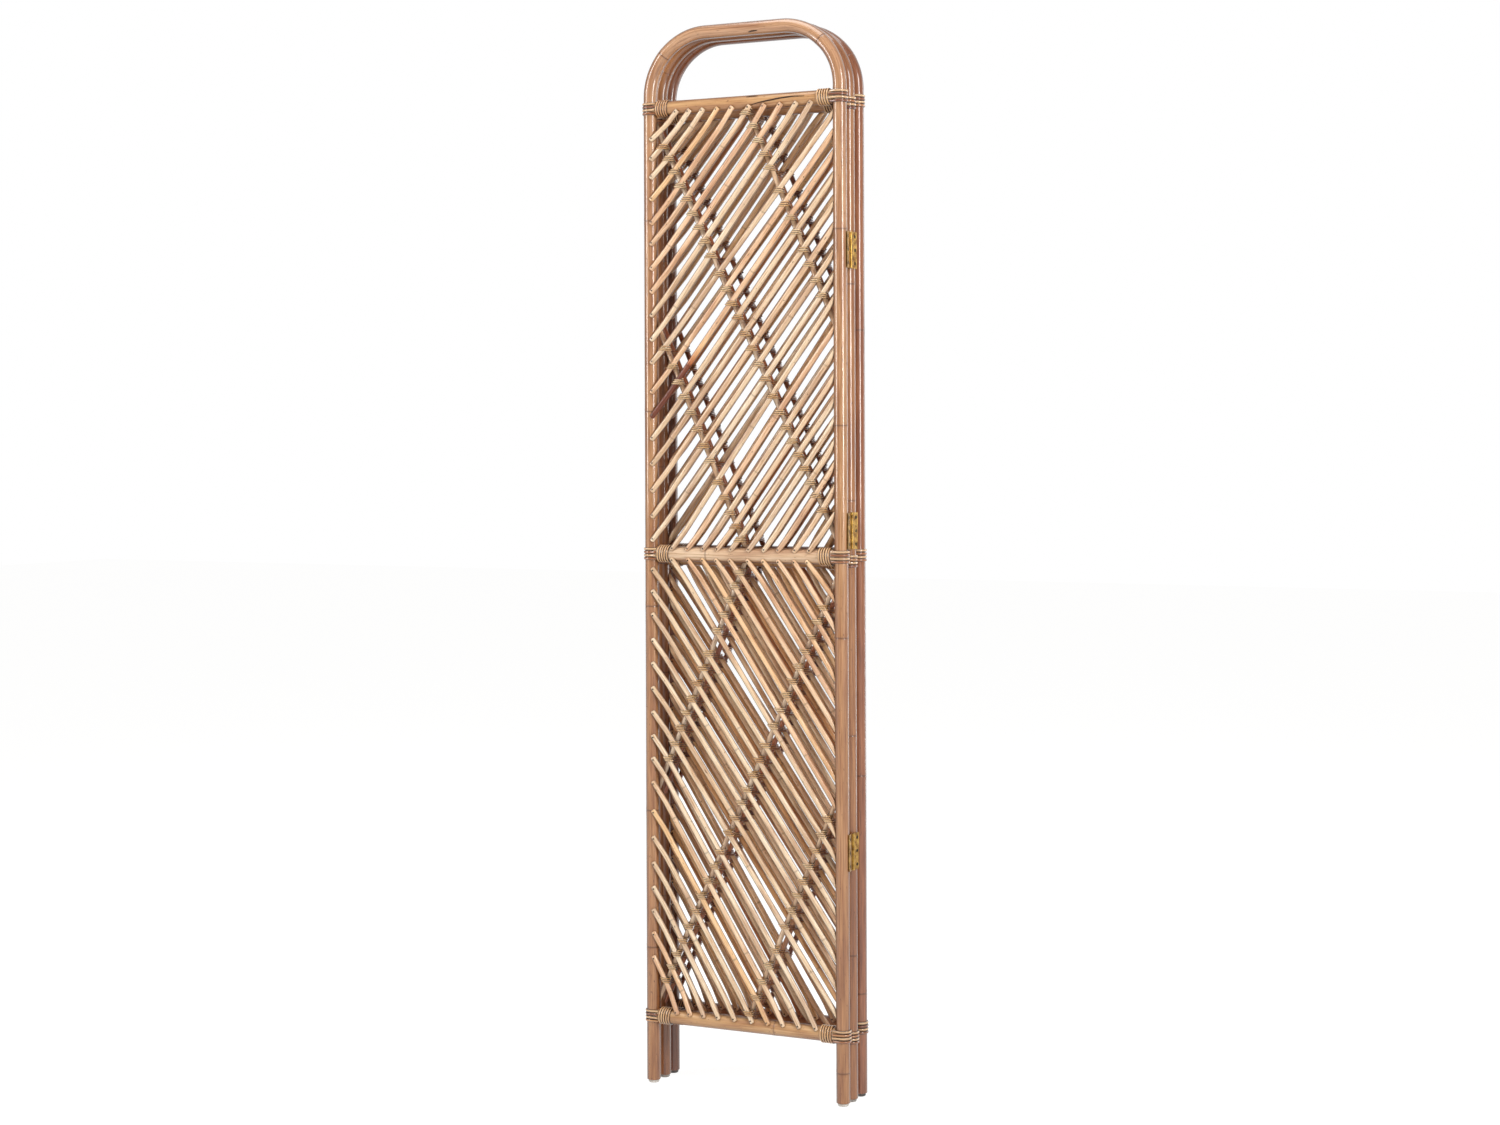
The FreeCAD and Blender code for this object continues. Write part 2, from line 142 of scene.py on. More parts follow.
def mixed(tree, share, one, other, blend="MIX"):
    """Two colours mixed."""
    sockets = {0: share, 6: one, 7: other}
    return add_node(tree, "ShaderNodeMix", sockets, data_type="RGBA", blend_type=blend).outputs[2]


def ranged(tree, value, low, high, start, end):
    """A value between low and high, carried to between start and end."""
    sockets = {0: value, 1: low, 2: high, 3: start, 4: end}
    return add_node(tree, "ShaderNodeMapRange", sockets).outputs[0]


def combined(tree, operation, one, other):
    """Two values joined by arithmetic."""
    return add_node(tree, "ShaderNodeMath", {0: one, 1: other}, operation=operation).outputs[0]


def noise(tree, place, sizes, detail, roughness=0.5):
    """Noise with grains of three sizes along the three directions of a place."""
    scale = tuple(1 / size for size in sizes)
    measured = add_node(tree, "ShaderNodeMapping", {"Vector": place, "Scale": scale})
    return add_node(tree, "ShaderNodeTexNoise", {"Vector": measured.outputs[0], "Scale": 1.0,
                                                 "Detail": detail, "Roughness": roughness}).outputs[0]


def empty_tree(owner):
    """The emptied node tree of a material or a world."""
    owner.use_nodes = True
    owner.node_tree.nodes.clear()
    return owner.node_tree


def new_material(name):
    """A new material and its empty node tree."""
    material = bpy.data.materials.new(name)
    return material, empty_tree(material)


def lay_surface(tree, finish, colour, height=None, relief=(0, 0)):
    """Close a material with its surface: a finish, a colour, and a height that may give it relief."""
    sockets = finish | {"Base Color": colour}
    if height is not None:
        bump = add_node(tree, "ShaderNodeBump", {"Strength": relief[0], "Distance": relief[1],
                                                 "Height": height})
        sockets["Normal"] = bump.outputs[0]
    surface = add_node(tree, "ShaderNodeBsdfPrincipled", sockets)
    add_node(tree, "ShaderNodeOutputMaterial", {"Surface": surface.outputs[0]})


# %% [markdown]
# The studio is plain: a pale sweep under the screen, even light from all round, two tall soft boxes
# in front and a narrow one behind. Lacquered cane is nearly a mirror seen edge on, so a soft box
# draws a bright line down every pole, which tells the eye that the pole is round and varnished.
#
# The floor and the surroundings are white where the camera looks at them. Lacquer and brass see the
# bright sweep behind the screen as white too, which gives every round edge its thin pale line. The
# light that reaches the screen stays at a plain level.

# %% Studio light
SOFT_BOXES = {
    "key": {"turn": 66, "size": (0.50, 1.9), "height": 1.85, "power": 57},
    "side": {"turn": -48, "size": (0.50, 1.9), "height": 1.85, "power": 42},
    "rim": {"turn": 148, "size": (0.16, 2.4), "height": 1.3, "power": 11},
}
BOX_DISTANCE = 2.6
TOP_PLACE = (0, -0.6, 3.4)
TOP_SIZE = (1.6, 1.6)
TOP_POWER = 34
WORLD_COLOUR = "#FFFDFA"
WORLD_LIGHT = 0.29
SWEEP_START = 0.15
SWEEP_FULL = 0.55
WHITE = (1, 1, 1, 1)


def area_lamp(name, matrix, size, power):
    """A soft rectangle of light."""
    lamp = bpy.data.lights.new(name, "AREA")
    lamp.shape = "RECTANGLE"
    lamp.size, lamp.size_y = size
    lamp.energy = power
    put_in_scene(name, lamp, matrix)


def soft_box(name, turn, size, height, power):
    """A tall soft box that faces the screen from an angle round it."""
    angle = math.radians(turn)
    place = (BOX_DISTANCE * math.sin(angle), -BOX_DISTANCE * math.cos(angle), height)
    area_lamp(name, level_look(place, angle), size, power)


def white_world():
    """Even light from all round; the camera, and reflections of the side behind, see white."""
    world = bpy.data.worlds.new("studio")
    bpy.context.scene.world = world
    tree = empty_tree(world)
    rays = add_node(tree, "ShaderNodeLightPath").outputs
    way = add_node(tree, "ShaderNodeTexCoord").outputs["Generated"]
    parts = add_node(tree, "ShaderNodeSeparateXYZ", {0: way}).outputs
    behind = ranged(tree, parts["Y"], SWEEP_START, SWEEP_FULL, 0.0, 1.0)
    mirrored = combined(tree, "MULTIPLY", rays["Is Glossy Ray"], behind)
    seen = combined(tree, "MAXIMUM", rays["Is Camera Ray"], mirrored)
    light = add_node(tree, "ShaderNodeBackground", {"Color": linear(WORLD_COLOUR),
                                                    "Strength": WORLD_LIGHT})
    white = add_node(tree, "ShaderNodeBackground", {"Color": WHITE, "Strength": 1.0})
    mix = add_node(tree, "ShaderNodeMixShader", {0: seen, 1: light.outputs[0], 2: white.outputs[0]})
    add_node(tree, "ShaderNodeOutputWorld", {"Surface": mix.outputs[0]})


for box_name, box in SOFT_BOXES.items():
    soft_box(box_name, **box)
area_lamp("top", Matrix.Translation(TOP_PLACE), TOP_SIZE, TOP_POWER)
white_world()
bpy.context.scene.view_settings.view_transform = "Standard"

# %% Floor
FLOOR_HALF = 14.0
FLOOR_PAINT = "#F4F3F1"
FLOOR_SHARE_SEEN = 0.72
FLOOR_WHITE = 1.27


def pale_floor():
    """A wide pale floor: the camera sees it nearly white, with the screen's shadow on it."""
    mesh = bpy.data.meshes.new("floor")
    corners = [(x * FLOOR_HALF, y * FLOOR_HALF, 0) for x, y in ((-1, -1), (1, -1), (1, 1), (-1, 1))]
    mesh.from_pydata(corners, [], [(0, 1, 2, 3)])
    material, tree = new_material("matt white sweep")
    rays = add_node(tree, "ShaderNodeLightPath").outputs
    seen = combined(tree, "MAXIMUM", rays["Is Camera Ray"], rays["Is Glossy Ray"])
    share = combined(tree, "MULTIPLY", seen, FLOOR_SHARE_SEEN)
    matt = add_node(tree, "ShaderNodeBsdfDiffuse", {"Color": linear(FLOOR_PAINT)})
    white = add_node(tree, "ShaderNodeEmission", {"Color": WHITE, "Strength": FLOOR_WHITE})
    mix = add_node(tree, "ShaderNodeMixShader", {0: share, 1: matt.outputs[0], 2: white.outputs[0]})
    add_node(tree, "ShaderNodeOutputMaterial", {"Surface": mix.outputs[0]})
    mesh.materials.append(material)
    put_in_scene("floor", mesh)


pale_floor()

# %% [markdown]
# Rattan is a climbing palm. Its stem is solid, with long straight fibres that show as fine streaks,
# and it is ringed at every node where a leaf once grew. The colour runs from straw to fox brown,
# and no two canes match. The poles and sticks are sanded and get a clear lacquer.
#
# The pattern is worked out in the cane's own measure: two directions across it and one along it, so
# that the streaks follow every bend. Each cane starts at another place in that measure, which makes
# it another piece of wood. A second value, its tone, says how dark the cane is; it differs from cane
# to cane and also carries painted shade, darker for the panels behind and towards the feet. A third,
# its mark, darkens the node rings and cut ends, and also carries painted shade on the poles behind
# and at the edges of the peel. The edges of every cane, where its skin is seen at a slant, are
# darkened as painted shade.

# %% Rattan material
STAIN_STRETCH = (1 / 0.16, 1 / 0.16, 2)
STAIN_STOPS = ((0.36, "#B98F72"), (0.50, "#F1E4D8"), (0.66, "#FFFFFF"))
STAIN_SHARE = 0.55
SPECK_SIZES = (2.6 * MM, 2.6 * MM, 7 * MM)
SPECK_RANGE = (0.70, 0.78, 0.0, 0.7)
PAINTED_EDGE_SHADE_RANGE = (0.25, 0.75, 0.0, 0.85)
GLOSS_RANGE = (0.3, 0.7, 0.52, 0.36)
LACQUER = {"IOR": 1.42, "Coat Roughness": 0.13, "Coat IOR": 1.55}
FIBRE_RELIEF = (0.35, 0.12 * MM)


def cane_values(tree):
    """The grain, the tone and the mark that each point of a cane or a strip carries."""
    grain, tone, mark = (add_node(tree, "ShaderNodeAttribute", attribute_name=name).outputs
                         for name in ("grain", "tone", "mark"))
    return grain["Vector"], tone["Fac"], mark["Fac"]


def rattan(name, pale, middle, dark, ring, tones, fibre_width, fibre_length, lacquer):
    """Lacquered rattan: fibre streaks, stains, dark specks, a tone for each cane, rings and painted edge
    shade.
    """
    material, tree = new_material(name)
    grain, tone, mark = cane_values(tree)
    fibre = (fibre_width, fibre_width, fibre_length)
    fine = noise(tree, grain, fibre, 3.0, 0.6)
    broad = noise(tree, grain, [size * more for size, more in zip(fibre, STAIN_STRETCH)], 2.0)
    streaks = colour_ramp(tree, fine, ((0.26, dark), (0.46, middle), (0.70, pale)))
    stains = colour_ramp(tree, broad, STAIN_STOPS)
    stained = mixed(tree, STAIN_SHARE, streaks, stains, "MULTIPLY")
    toned = mixed(tree, 1.0, stained, colour_ramp(tree, tone, tones), "MULTIPLY")
    specks = ranged(tree, noise(tree, grain, SPECK_SIZES, 1.0), *SPECK_RANGE)
    ringed = mixed(tree, combined(tree, "MAXIMUM", mark, specks), toned, linear(ring))
    # Painted shade: the skin is darkened towards the cane's outline, where it is seen at a slant.
    slant = add_node(tree, "ShaderNodeLayerWeight", {"Blend": 0.5}).outputs["Facing"]
    edge_shaded = mixed(tree, ranged(tree, slant, *PAINTED_EDGE_SHADE_RANGE), ringed, linear(ring))
    gloss = ranged(tree, fine, *GLOSS_RANGE)
    lay_surface(tree, LACQUER | {"Coat Weight": lacquer, "Roughness": gloss}, edge_shaded, fine,
                FIBRE_RELIEF)
    return material


POLE_TONES = ((0.0, "#C99F8A"), (0.5, "#DABE9C"), (0.70, "#E3CDAB"), (0.86, "#FBF2E0"),
              (1.0, "#FFFFFF"))
STICK_TONES = ((0.0, "#7A4028"), (0.06, "#C48258"), (0.30, "#F0CAA2"), (0.45, "#FAE4C4"),
               (0.62, "#FAE6D6"), (0.80, "#F4ECE0"), (1.0, "#FDFBF6"))
ROD_TONES = ((0.0, "#7A3C22"), (0.30, "#B07048"), (0.60, "#F2DEC8"), (1.0, "#FFFFFF"))
pole_rattan = rattan("lacquered pole rattan", "#D0A482", "#B68A64", "#8C5F3E", "#542C16",
                     POLE_TONES, 2.2 * MM, 70 * MM, 1.0)
bar_rattan = rattan("lacquered bar rattan", "#EBD0B2", "#D9B896", "#B28C68", "#6A4028",
                    POLE_TONES, 2.0 * MM, 60 * MM, 0.6)
stick_rattan = rattan("lacquered stick rattan", "#FFF2DE", "#F0DABE", "#C89A6E", "#481C08",
                      STICK_TONES, 1.6 * MM, 45 * MM, 0.4)
rod_rattan = rattan("lacquered rod rattan", "#FFF0DC", "#F4DFC4", "#DDBE9C", "#6E3A1E",
                    ROD_TONES, 1.6 * MM, 40 * MM, 0.8)
print("streaks are drawn coarser than real fibres: 2.2 mm wide on a pole, 1.6 mm on a stick")

# %% [markdown]
# The windings are rattan peel: the hard glassy skin of the cane, split into strips and wound while
# wet. It is yellower and shinier than the sanded canes, with a few fine lines along each strip. The
# wider strip binds the joints and the narrower one ties the sticks to the rods.

# %% Peel material
PEEL_LINE = (0.5 * MM, 0.5 * MM, 25 * MM)
PEEL_HUES = ((0.0, "#7C4228"), (0.3, "#D0A684"), (0.55, "#F4E4CE"), (1.0, "#FFFFFF"))
# Painted shade: the near-black brown that each strip's edges take, where the turns of peel meet.
PEEL_EDGE_SHADE = "#2C160A"
PEEL_FINISH = {"Roughness": 0.34, "IOR": 1.5, "Coat Weight": 0.9, "Coat Roughness": 0.12}
PEEL_RELIEF = (0.3, 0.08 * MM)


def peel(name, pale, middle, dark):
    """Glossy rattan peel: fine lines along the strip, a tone for each strip and painted shade at its
    edges.
    """
    material, tree = new_material(name)
    grain, tone, mark = cane_values(tree)
    lines = noise(tree, grain, PEEL_LINE, 2.0)
    shades = colour_ramp(tree, lines, ((0.32, dark), (0.50, middle), (0.66, pale)))
    toned = mixed(tree, 1.0, shades, colour_ramp(tree, tone, PEEL_HUES), "MULTIPLY")
    edge_shaded = mixed(tree, mark, toned, linear(PEEL_EDGE_SHADE))
    lay_surface(tree, PEEL_FINISH, edge_shaded, lines, PEEL_RELIEF)
    return material


binding_peel = peel("glossy binding peel", "#EFD0A6", "#DBB184", "#AE7C4E")
lashing_peel = peel("glossy lashing peel", "#F6DDB4", "#E6BF8E", "#B5845A")

# %% [markdown]
# The hinges are stamped from sheet brass and polished on a wheel, which leaves a faint brushed
# haze. The brads are dull steel, the screws are brass drawn near black, partly oxide and mostly
# painted shade of their slots, and the glides are moulded nylon, drawn darker on the two panels
# behind as painted shade.
# Of these small parts only the brads are shaped anew further down: the others keep the measured
# shapes.

# %% Metal and plastic materials
TARNISH_SIZES = (9 * MM,) * 3
BRUSH_RELIEF = (0.15, 0.03 * MM)
NYLON_GRAIN_SIZES = (0.8 * MM,) * 3
SCUFF_SIZES = (6 * MM,) * 3
NYLON_FINISH = {"Roughness": 0.45, "IOR": 1.53}
NYLON_RELIEF = (0.3, 0.05 * MM)


def brushed_metal(name, bright, dull, roughness, brush_width, brush_length):
    """Polished metal with a faint brushed haze along Z and a little tarnish."""
    material, tree = new_material(name)
    place = add_node(tree, "ShaderNodeTexCoord").outputs["Object"]
    brush = noise(tree, place, (brush_width, brush_width, brush_length), 3.0)
    tarnish = noise(tree, place, TARNISH_SIZES, 4.0)
    colour = colour_ramp(tree, tarnish, ((0.35, dull), (0.62, bright)))
    gloss = ranged(tree, brush, 0.3, 0.7, roughness - 0.07, roughness + 0.08)
    lay_surface(tree, {"Roughness": gloss, "Metallic": 1.0}, colour, brush, BRUSH_RELIEF)
    return material


def moulded_nylon(name, pale, dark):
    """Moulded nylon: a fine grained surface, scuffed from standing on floors."""
    material, tree = new_material(name)
    place = add_node(tree, "ShaderNodeTexCoord").outputs["Object"]
    grain = noise(tree, place, NYLON_GRAIN_SIZES, 3.0)
    scuffs = noise(tree, place, SCUFF_SIZES, 4.0)
    colour = colour_ramp(tree, scuffs, ((0.35, dark), (0.6, pale)))
    lay_surface(tree, NYLON_FINISH, colour, grain, NYLON_RELIEF)
    return material


hinge_brass = brushed_metal("polished hinge brass", "#BC954C", "#7C5626", 0.30, 0.25 * MM, 9 * MM)
pin_brass = brushed_metal("turned pin brass", "#DDC48C", "#A98A54", 0.30, 9 * MM, 0.25 * MM)
# Oxide and painted shade: the screws are drawn near black for the shade in their slots.
shade_dark_screw_brass = brushed_metal("oxidised screw brass in painted shade", "#2A2018", "#120D08", 0.5, 0.4 * MM, 0.4 * MM)
nail_steel = brushed_metal("dull brad steel", "#6F665E", "#3F3832", 0.48, 0.4 * MM, 0.4 * MM)
pale_nylon = moulded_nylon("pale moulded nylon", "#E4E0DA", "#C9C3BA")
# Painted shade: the glides of the two panels behind are darker copies of the same nylon.
half_shaded_nylon = moulded_nylon("grey moulded nylon", "#A8A39C", "#8A857E")
deep_shaded_nylon = moulded_nylon("dark grey moulded nylon", "#5E5954", "#45413D")

# %% [markdown]
# Every cane and every strip is a swept ring of points, so one small class gathers them. It keeps
# the points, the faces and the three values that the materials read, and turns many canes into one
# object. A cane is closed at both ends, and its edges are kept crisp there and smooth elsewhere.

# %% Gather swept pieces into one mesh
CRISP_ANGLE = math.radians(48)


class Sheaf:
    """Swept canes or strips that end up as one object."""

    def __init__(self):
        self.points, self.faces = [], []
        self.values = {"grain": [], "tone": [], "mark": []}
        self.count = 0

    def add(self, rings, grain, tone, mark):
        """Add one closed sweep: rings and grain are (rings, sides, 3), mark one a ring or point."""
        length, sides, _ = rings.shape
        index = self.count + np.arange(length * sides).reshape(length, sides)
        ahead = np.roll(index, -1, axis=1)
        quads = np.stack([index[:-1], ahead[:-1], ahead[1:], index[1:]], axis=-1)
        self.points.append(rings.reshape(-1, 3))
        self.faces += quads.reshape(-1, 4).tolist()
        self.faces += [index[0, ::-1].tolist(), index[-1].tolist()]
        self.values["grain"].append(grain.reshape(-1, 3))
        self.values["tone"].append(np.repeat(np.broadcast_to(tone, length), sides))
        self.values["mark"].append(np.broadcast_to(mark.reshape(length, -1), (length, sides)).ravel())
        self.count += length * sides

    def build(self, panel, name, material, node=None):
        """Make the object, let it ride on its panel and take the place of a measured node."""
        mesh = bpy.data.meshes.new(panel.name + "_" + name)
        mesh.from_pydata(np.concatenate(self.points).tolist(), [], self.faces)
        for key, parts in self.values.items():
            kind, field = ("FLOAT_VECTOR", "vector") if key == "grain" else ("FLOAT", "value")
            layer = mesh.attributes.new(key, kind, "POINT")
            layer.data.foreach_set(field, np.concatenate(parts).astype(np.float32).ravel())
        mesh.shade_smooth()
        mesh.set_sharp_from_angle(angle=CRISP_ANGLE)
        mesh.materials.append(material)
        piece = put_in_scene(mesh.name, mesh)
        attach(piece, panel.name + "_panel")
        if node:
            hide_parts(panel.name + "_" + node)


# %% [markdown]
# The places come from the measured model. A node of many sticks is one mesh, so it is first split
# into its separate solids. Each of those is a round rod with shaped ends: all its corners lie on
# one cylinder, and fitting a circle to the corners at each end gives its centre line and radius.

# %% Measure rods in the model
AXIS_ROUNDS = 4
RIM_SHARE = 0.03
RIM_LEAST = 5


def islands(node):
    """The separate solids of a node, each as an array of its corners."""
    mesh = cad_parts[node].data
    places = np.empty(len(mesh.vertices) * 3)
    mesh.vertices.foreach_get("co", places)
    places = places.reshape(-1, 3)
    edges = np.empty(len(mesh.edges) * 2, np.int64)
    mesh.edges.foreach_get("vertices", edges)
    same = np.unique(np.round(places, 6), axis=0, return_inverse=True)[1].ravel()
    one, other = same[edges[0::2]], same[edges[1::2]]
    label = np.arange(same.max() + 1)
    while True:
        low = np.minimum(label[one], label[other])
        new = label.copy()
        np.minimum.at(new, one, low)
        np.minimum.at(new, other, low)
        new = new[new]
        if (new == label).all():
            return [places[label[same] == key] for key in np.unique(label)]
        label = new


def circle_centre(flat):
    """Centre and radius of the circle through points in a plane."""
    matrix = np.column_stack([flat, np.ones(len(flat))])
    found = np.linalg.lstsq(matrix, -(flat ** 2).sum(1), rcond=None)[0]
    centre = -found[:2] / 2
    return centre, math.sqrt(max(centre @ centre - found[2], 0))


def rod_axis(corners):
    """Both ends of the centre line of a round rod, and its radius."""
    middle = (corners.min(0) + corners.max(0)) / 2
    way = np.linalg.svd(corners - corners.mean(0), full_matrices=False)[2][0]
    for _ in range(AXIS_ROUNDS):
        side = np.cross(way, (0, 1, 0) if abs(way[1]) < 0.5 else (1, 0, 0))
        side /= np.linalg.norm(side)
        up = np.cross(side, way)
        along = (corners - middle) @ way
        centres = []
        for part in (along < 0, along > 0):
            own = corners[part] - middle
            flat = np.column_stack([own @ side, own @ up])
            centre, radius = circle_centre(flat)
            rim = np.abs(np.linalg.norm(flat - centre, axis=1) - radius) < RIM_SHARE * radius
            if rim.sum() > RIM_LEAST:
                centre, radius = circle_centre(flat[rim])
            centres.append(middle + side * centre[0] + up * centre[1] + way * along[part].mean())
        way = centres[1] - centres[0]
        way /= np.linalg.norm(way)
        middle = (centres[0] + centres[1]) / 2
    along = (corners - middle) @ way
    return middle + way * along.min(), middle + way * along.max(), radius


# %% [markdown]
# Each panel has its own measure: across from its middle, out of its plane, and up. The outer panels
# are fanned open a little, so a panel's direction is read from its middle crossbar. Everything on a
# panel is then made in that measure and carried to its place.

# %% Panels and their own measure
BAR_NAMES = ("top_bar", "middle_bar", "bottom_bar")


class Panel:
    """One panel: where it stands, which way it faces, and the heights of its crossbars."""

    def __init__(self, name):
        self.name = name
        low, high, _ = rod_axis(islands(name + "_middle_bar")[0])
        across = high - low if high[0] > low[0] else low - high
        across[2] = 0
        across /= np.linalg.norm(across)
        self.turn = np.array([across, (-across[1], across[0], 0), (0, 0, 1)])
        self.origin = (low + high) / 2 * (1, 1, 0)
        self.bars = {}
        for bar in BAR_NAMES:
            one, other, radius = rod_axis(islands(name + "_" + bar)[0])
            self.bars[bar] = ((one[2] + other[2]) / 2, radius)
        sticks = np.array(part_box(name + "_upper_sticks")).mean(0)
        self.face = math.copysign(1, self.local(sticks)[1])

    def local(self, points):
        """Places in the room as across, out and up of this panel."""
        return (points - self.origin) @ self.turn.T

    def world(self, points):
        """Places in this panel's measure as places in the room."""
        return points @ self.turn + self.origin

    def rods(self, node):
        """Centre lines of the rods in a node, in the panel's measure, left end first."""
        found = []
        for corners in islands(self.name + "_" + node):
            start, end, radius = rod_axis(self.local(corners))
            if start[0] > end[0]:
                start, end = end, start
            found.append((start, end, radius))
        return sorted(found, key=lambda rod: -(rod[0][2] + rod[1][2]))


panels = [Panel(name) for name in ("front", "middle", "back")]
pole_low, pole_high = (np.array(corner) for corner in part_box("middle_pole"))
POLE_R = (pole_high[1] - pole_low[1]) / 2
LEG_SIDE = (pole_high[0] - pole_low[0]) / 2 - POLE_R
FOOT_HEIGHT = pole_low[2]
ARCH_HEIGHT = pole_high[2] - POLE_R
for panel in panels:
    print(panel.name, "turned", round(math.degrees(math.atan2(panel.turn[0][1], panel.turn[0][0])), 2),
          "bars at", [round(height / MM, 1) for height, _ in panel.bars.values()])
print("pole radius", round(POLE_R / MM, 2), "legs at", round(LEG_SIDE / MM, 2), "mm")

# %% [markdown]
# A cane is never a perfect cylinder. It swells a little at each node, has a fine groove there, and
# its thickness wanders. One function gives that outline for any cane: how much of the full radius it
# has at each place along it, and how dark its mark is. It never goes past the full radius.

# %% Outline of a cane
RING_SWELL = 0.022
RING_GROOVE = 0.022
SWELL_REACH = 7 * MM
GROOVE_REACH = 0.7 * MM
MARK_REACH = 1.4 * MM
RING_STEPS = np.array([-14, -9, -6, -4, -2.6, -1.6, -1.0, -0.5, 0, 0.5, 1.0, 1.6, 2.6, 4, 6, 9, 14])
LEAST_STEP = 0.3 * MM
SLOW_WAVE, QUICK_WAVE = 0.061, 0.023


def stations(length, step, rings):
    """Places along a cane, with more of them at its node rings."""
    even = np.linspace(0, length, max(int(length / step), 4) + 1)
    places = np.concatenate([even, *(ring + RING_STEPS * MM for ring in rings)])
    places = np.unique(np.round(places[(places > 0) & (places < length)], 6))
    return places[np.concatenate([[True], np.diff(places) > LEAST_STEP])]


def outline(places, rings, wander, seed, ring_dark):
    """The share of the full radius at each place along a cane, and the darkness of its mark."""
    phase = random.Random(seed).uniform(0, 50)
    slow = np.sin(places / SLOW_WAVE + phase) * 0.6 + np.sin(places / QUICK_WAVE + 2 * phase) * 0.4
    share = 1 - RING_SWELL - wander * (1 + slow) / 2
    mark = np.zeros(len(places))
    for ring in rings:
        away = places - ring
        share += RING_SWELL * np.exp(-(away / SWELL_REACH) ** 2)
        share -= RING_GROOVE * np.exp(-(away / GROOVE_REACH) ** 2)
        mark += ring_dark * np.exp(-(away / MARK_REACH) ** 2)
    return np.minimum(share, 1.0), np.clip(mark, 0, 1)


def round_turns(sides):
    """The angles of the sides of a cane or a brad."""
    return np.arange(sides) / sides * FULL_TURN


def unevenness(turns, facets, shape):
    """The share of the radius that each side of a cane has, as no cane is quite round."""
    lean, bend = shape.uniform(0, 6), shape.uniform(0, 6)
    return 1 - facets * (1 + np.cos(2 * turns + lean)) / 2 - facets * (1 + np.cos(3 * turns + bend)) / 4


def grain_of(reach, turns, along):
    """The cane's own measure: two directions across it and one along it."""
    return np.stack([reach * np.cos(turns), reach * np.sin(turns),
                     np.broadcast_to(along, reach.shape)], axis=-1)


# %% [markdown]
# The pole is one long cane, steamed and bent round a former. It runs up the left leg, round the
# arch and down the right leg, so its outline is worked out along that whole way and its streaks run
# round the bends. The rings of the front pole stand where the real ones do. The tone falls from the
# arch down to the feet, which is painted shade of the light from above, and the two poles behind
# are darker all over, painted shade for standing behind the front panel. The flame that softens a
# cane for bending also browns it a little, and the two poles behind are darkened more at the bends
# and down their left legs, which is mostly painted shade.

# %% Poles
BEND_R = 104 * MM
POLE_SIDES = 36
POLE_FACETS = 0.010
POLE_WANDER = 0.008
POLE_RING_DARK = 0.72
POLE_STEP = 14 * MM
ARC_STEP = 4 * MM
END_STEPS = np.array([0, 0.7, 1.6]) * MM
END_ROUNDING = 0.05
END_MARK = 0.5
POLE_GRAIN_STEP = 3.1
# Painted shade: how light each panel's canes are drawn; the panels behind stand in the front panel's
# shade.
PANEL_SHADE_TONES = {"front": 1.0, "middle": 0.7, "back": 0.15}
# Painted shade: the share of the tone that is left at the feet, as less light reaches low down.
FOOT_SHADE_TONE = 0.70
# Browning at the bends and painted shade: (share of the pole's length from the left foot, darkness).
SCORCH_AND_SHADE = {"front": ((0, 0), (1, 0)),
          "middle": ((0, 0.30), (0.44, 0.30), (0.48, 0.10), (0.56, 0.15), (0.60, 0)),
          "back": ((0, 0.38), (0.44, 0.35), (0.50, 0.25), (0.54, 0.50), (0.58, 0))}
LEFT_RINGS = {"front": (229, 460, 805, 1134, 1456), "middle": (310, 690, 1040, 1390),
              "back": (180, 560, 930, 1290)}
RIGHT_RINGS = {"front": (54, 762, 1108, 1428), "middle": (240, 600, 985, 1340),
               "back": (170, 530, 900, 1266)}
CORNER_RING_SHARES = {"front": (0.47, 0.52), "middle": (0.3, 0.75), "back": (0.62, 0.35)}

leg_length = ARCH_HEIGHT - BEND_R - FOOT_HEIGHT
bend_length = BEND_R * math.pi / 2
pole_length = 2 * (leg_length + bend_length + LEG_SIDE - BEND_R)


def on_pole(place):
    """Centre and direction of the pole at a length along it from the left foot."""
    if place > pole_length / 2:
        (x, _, z), (across, _, up) = on_pole(pole_length - place)
        return (-x, 0, z), (across, 0, -up)
    if place < leg_length:
        return (-LEG_SIDE, 0, FOOT_HEIGHT + place), (0, 0, 1)
    if place > leg_length + bend_length:
        return (place - pole_length / 2, 0, ARCH_HEIGHT), (1, 0, 0)
    angle = (place - leg_length) / BEND_R
    across, up = math.sin(angle), math.cos(angle)
    centre = (BEND_R * (1 - up) - LEG_SIDE, 0, ARCH_HEIGHT - BEND_R * (1 - across))
    return centre, (across, 0, up)


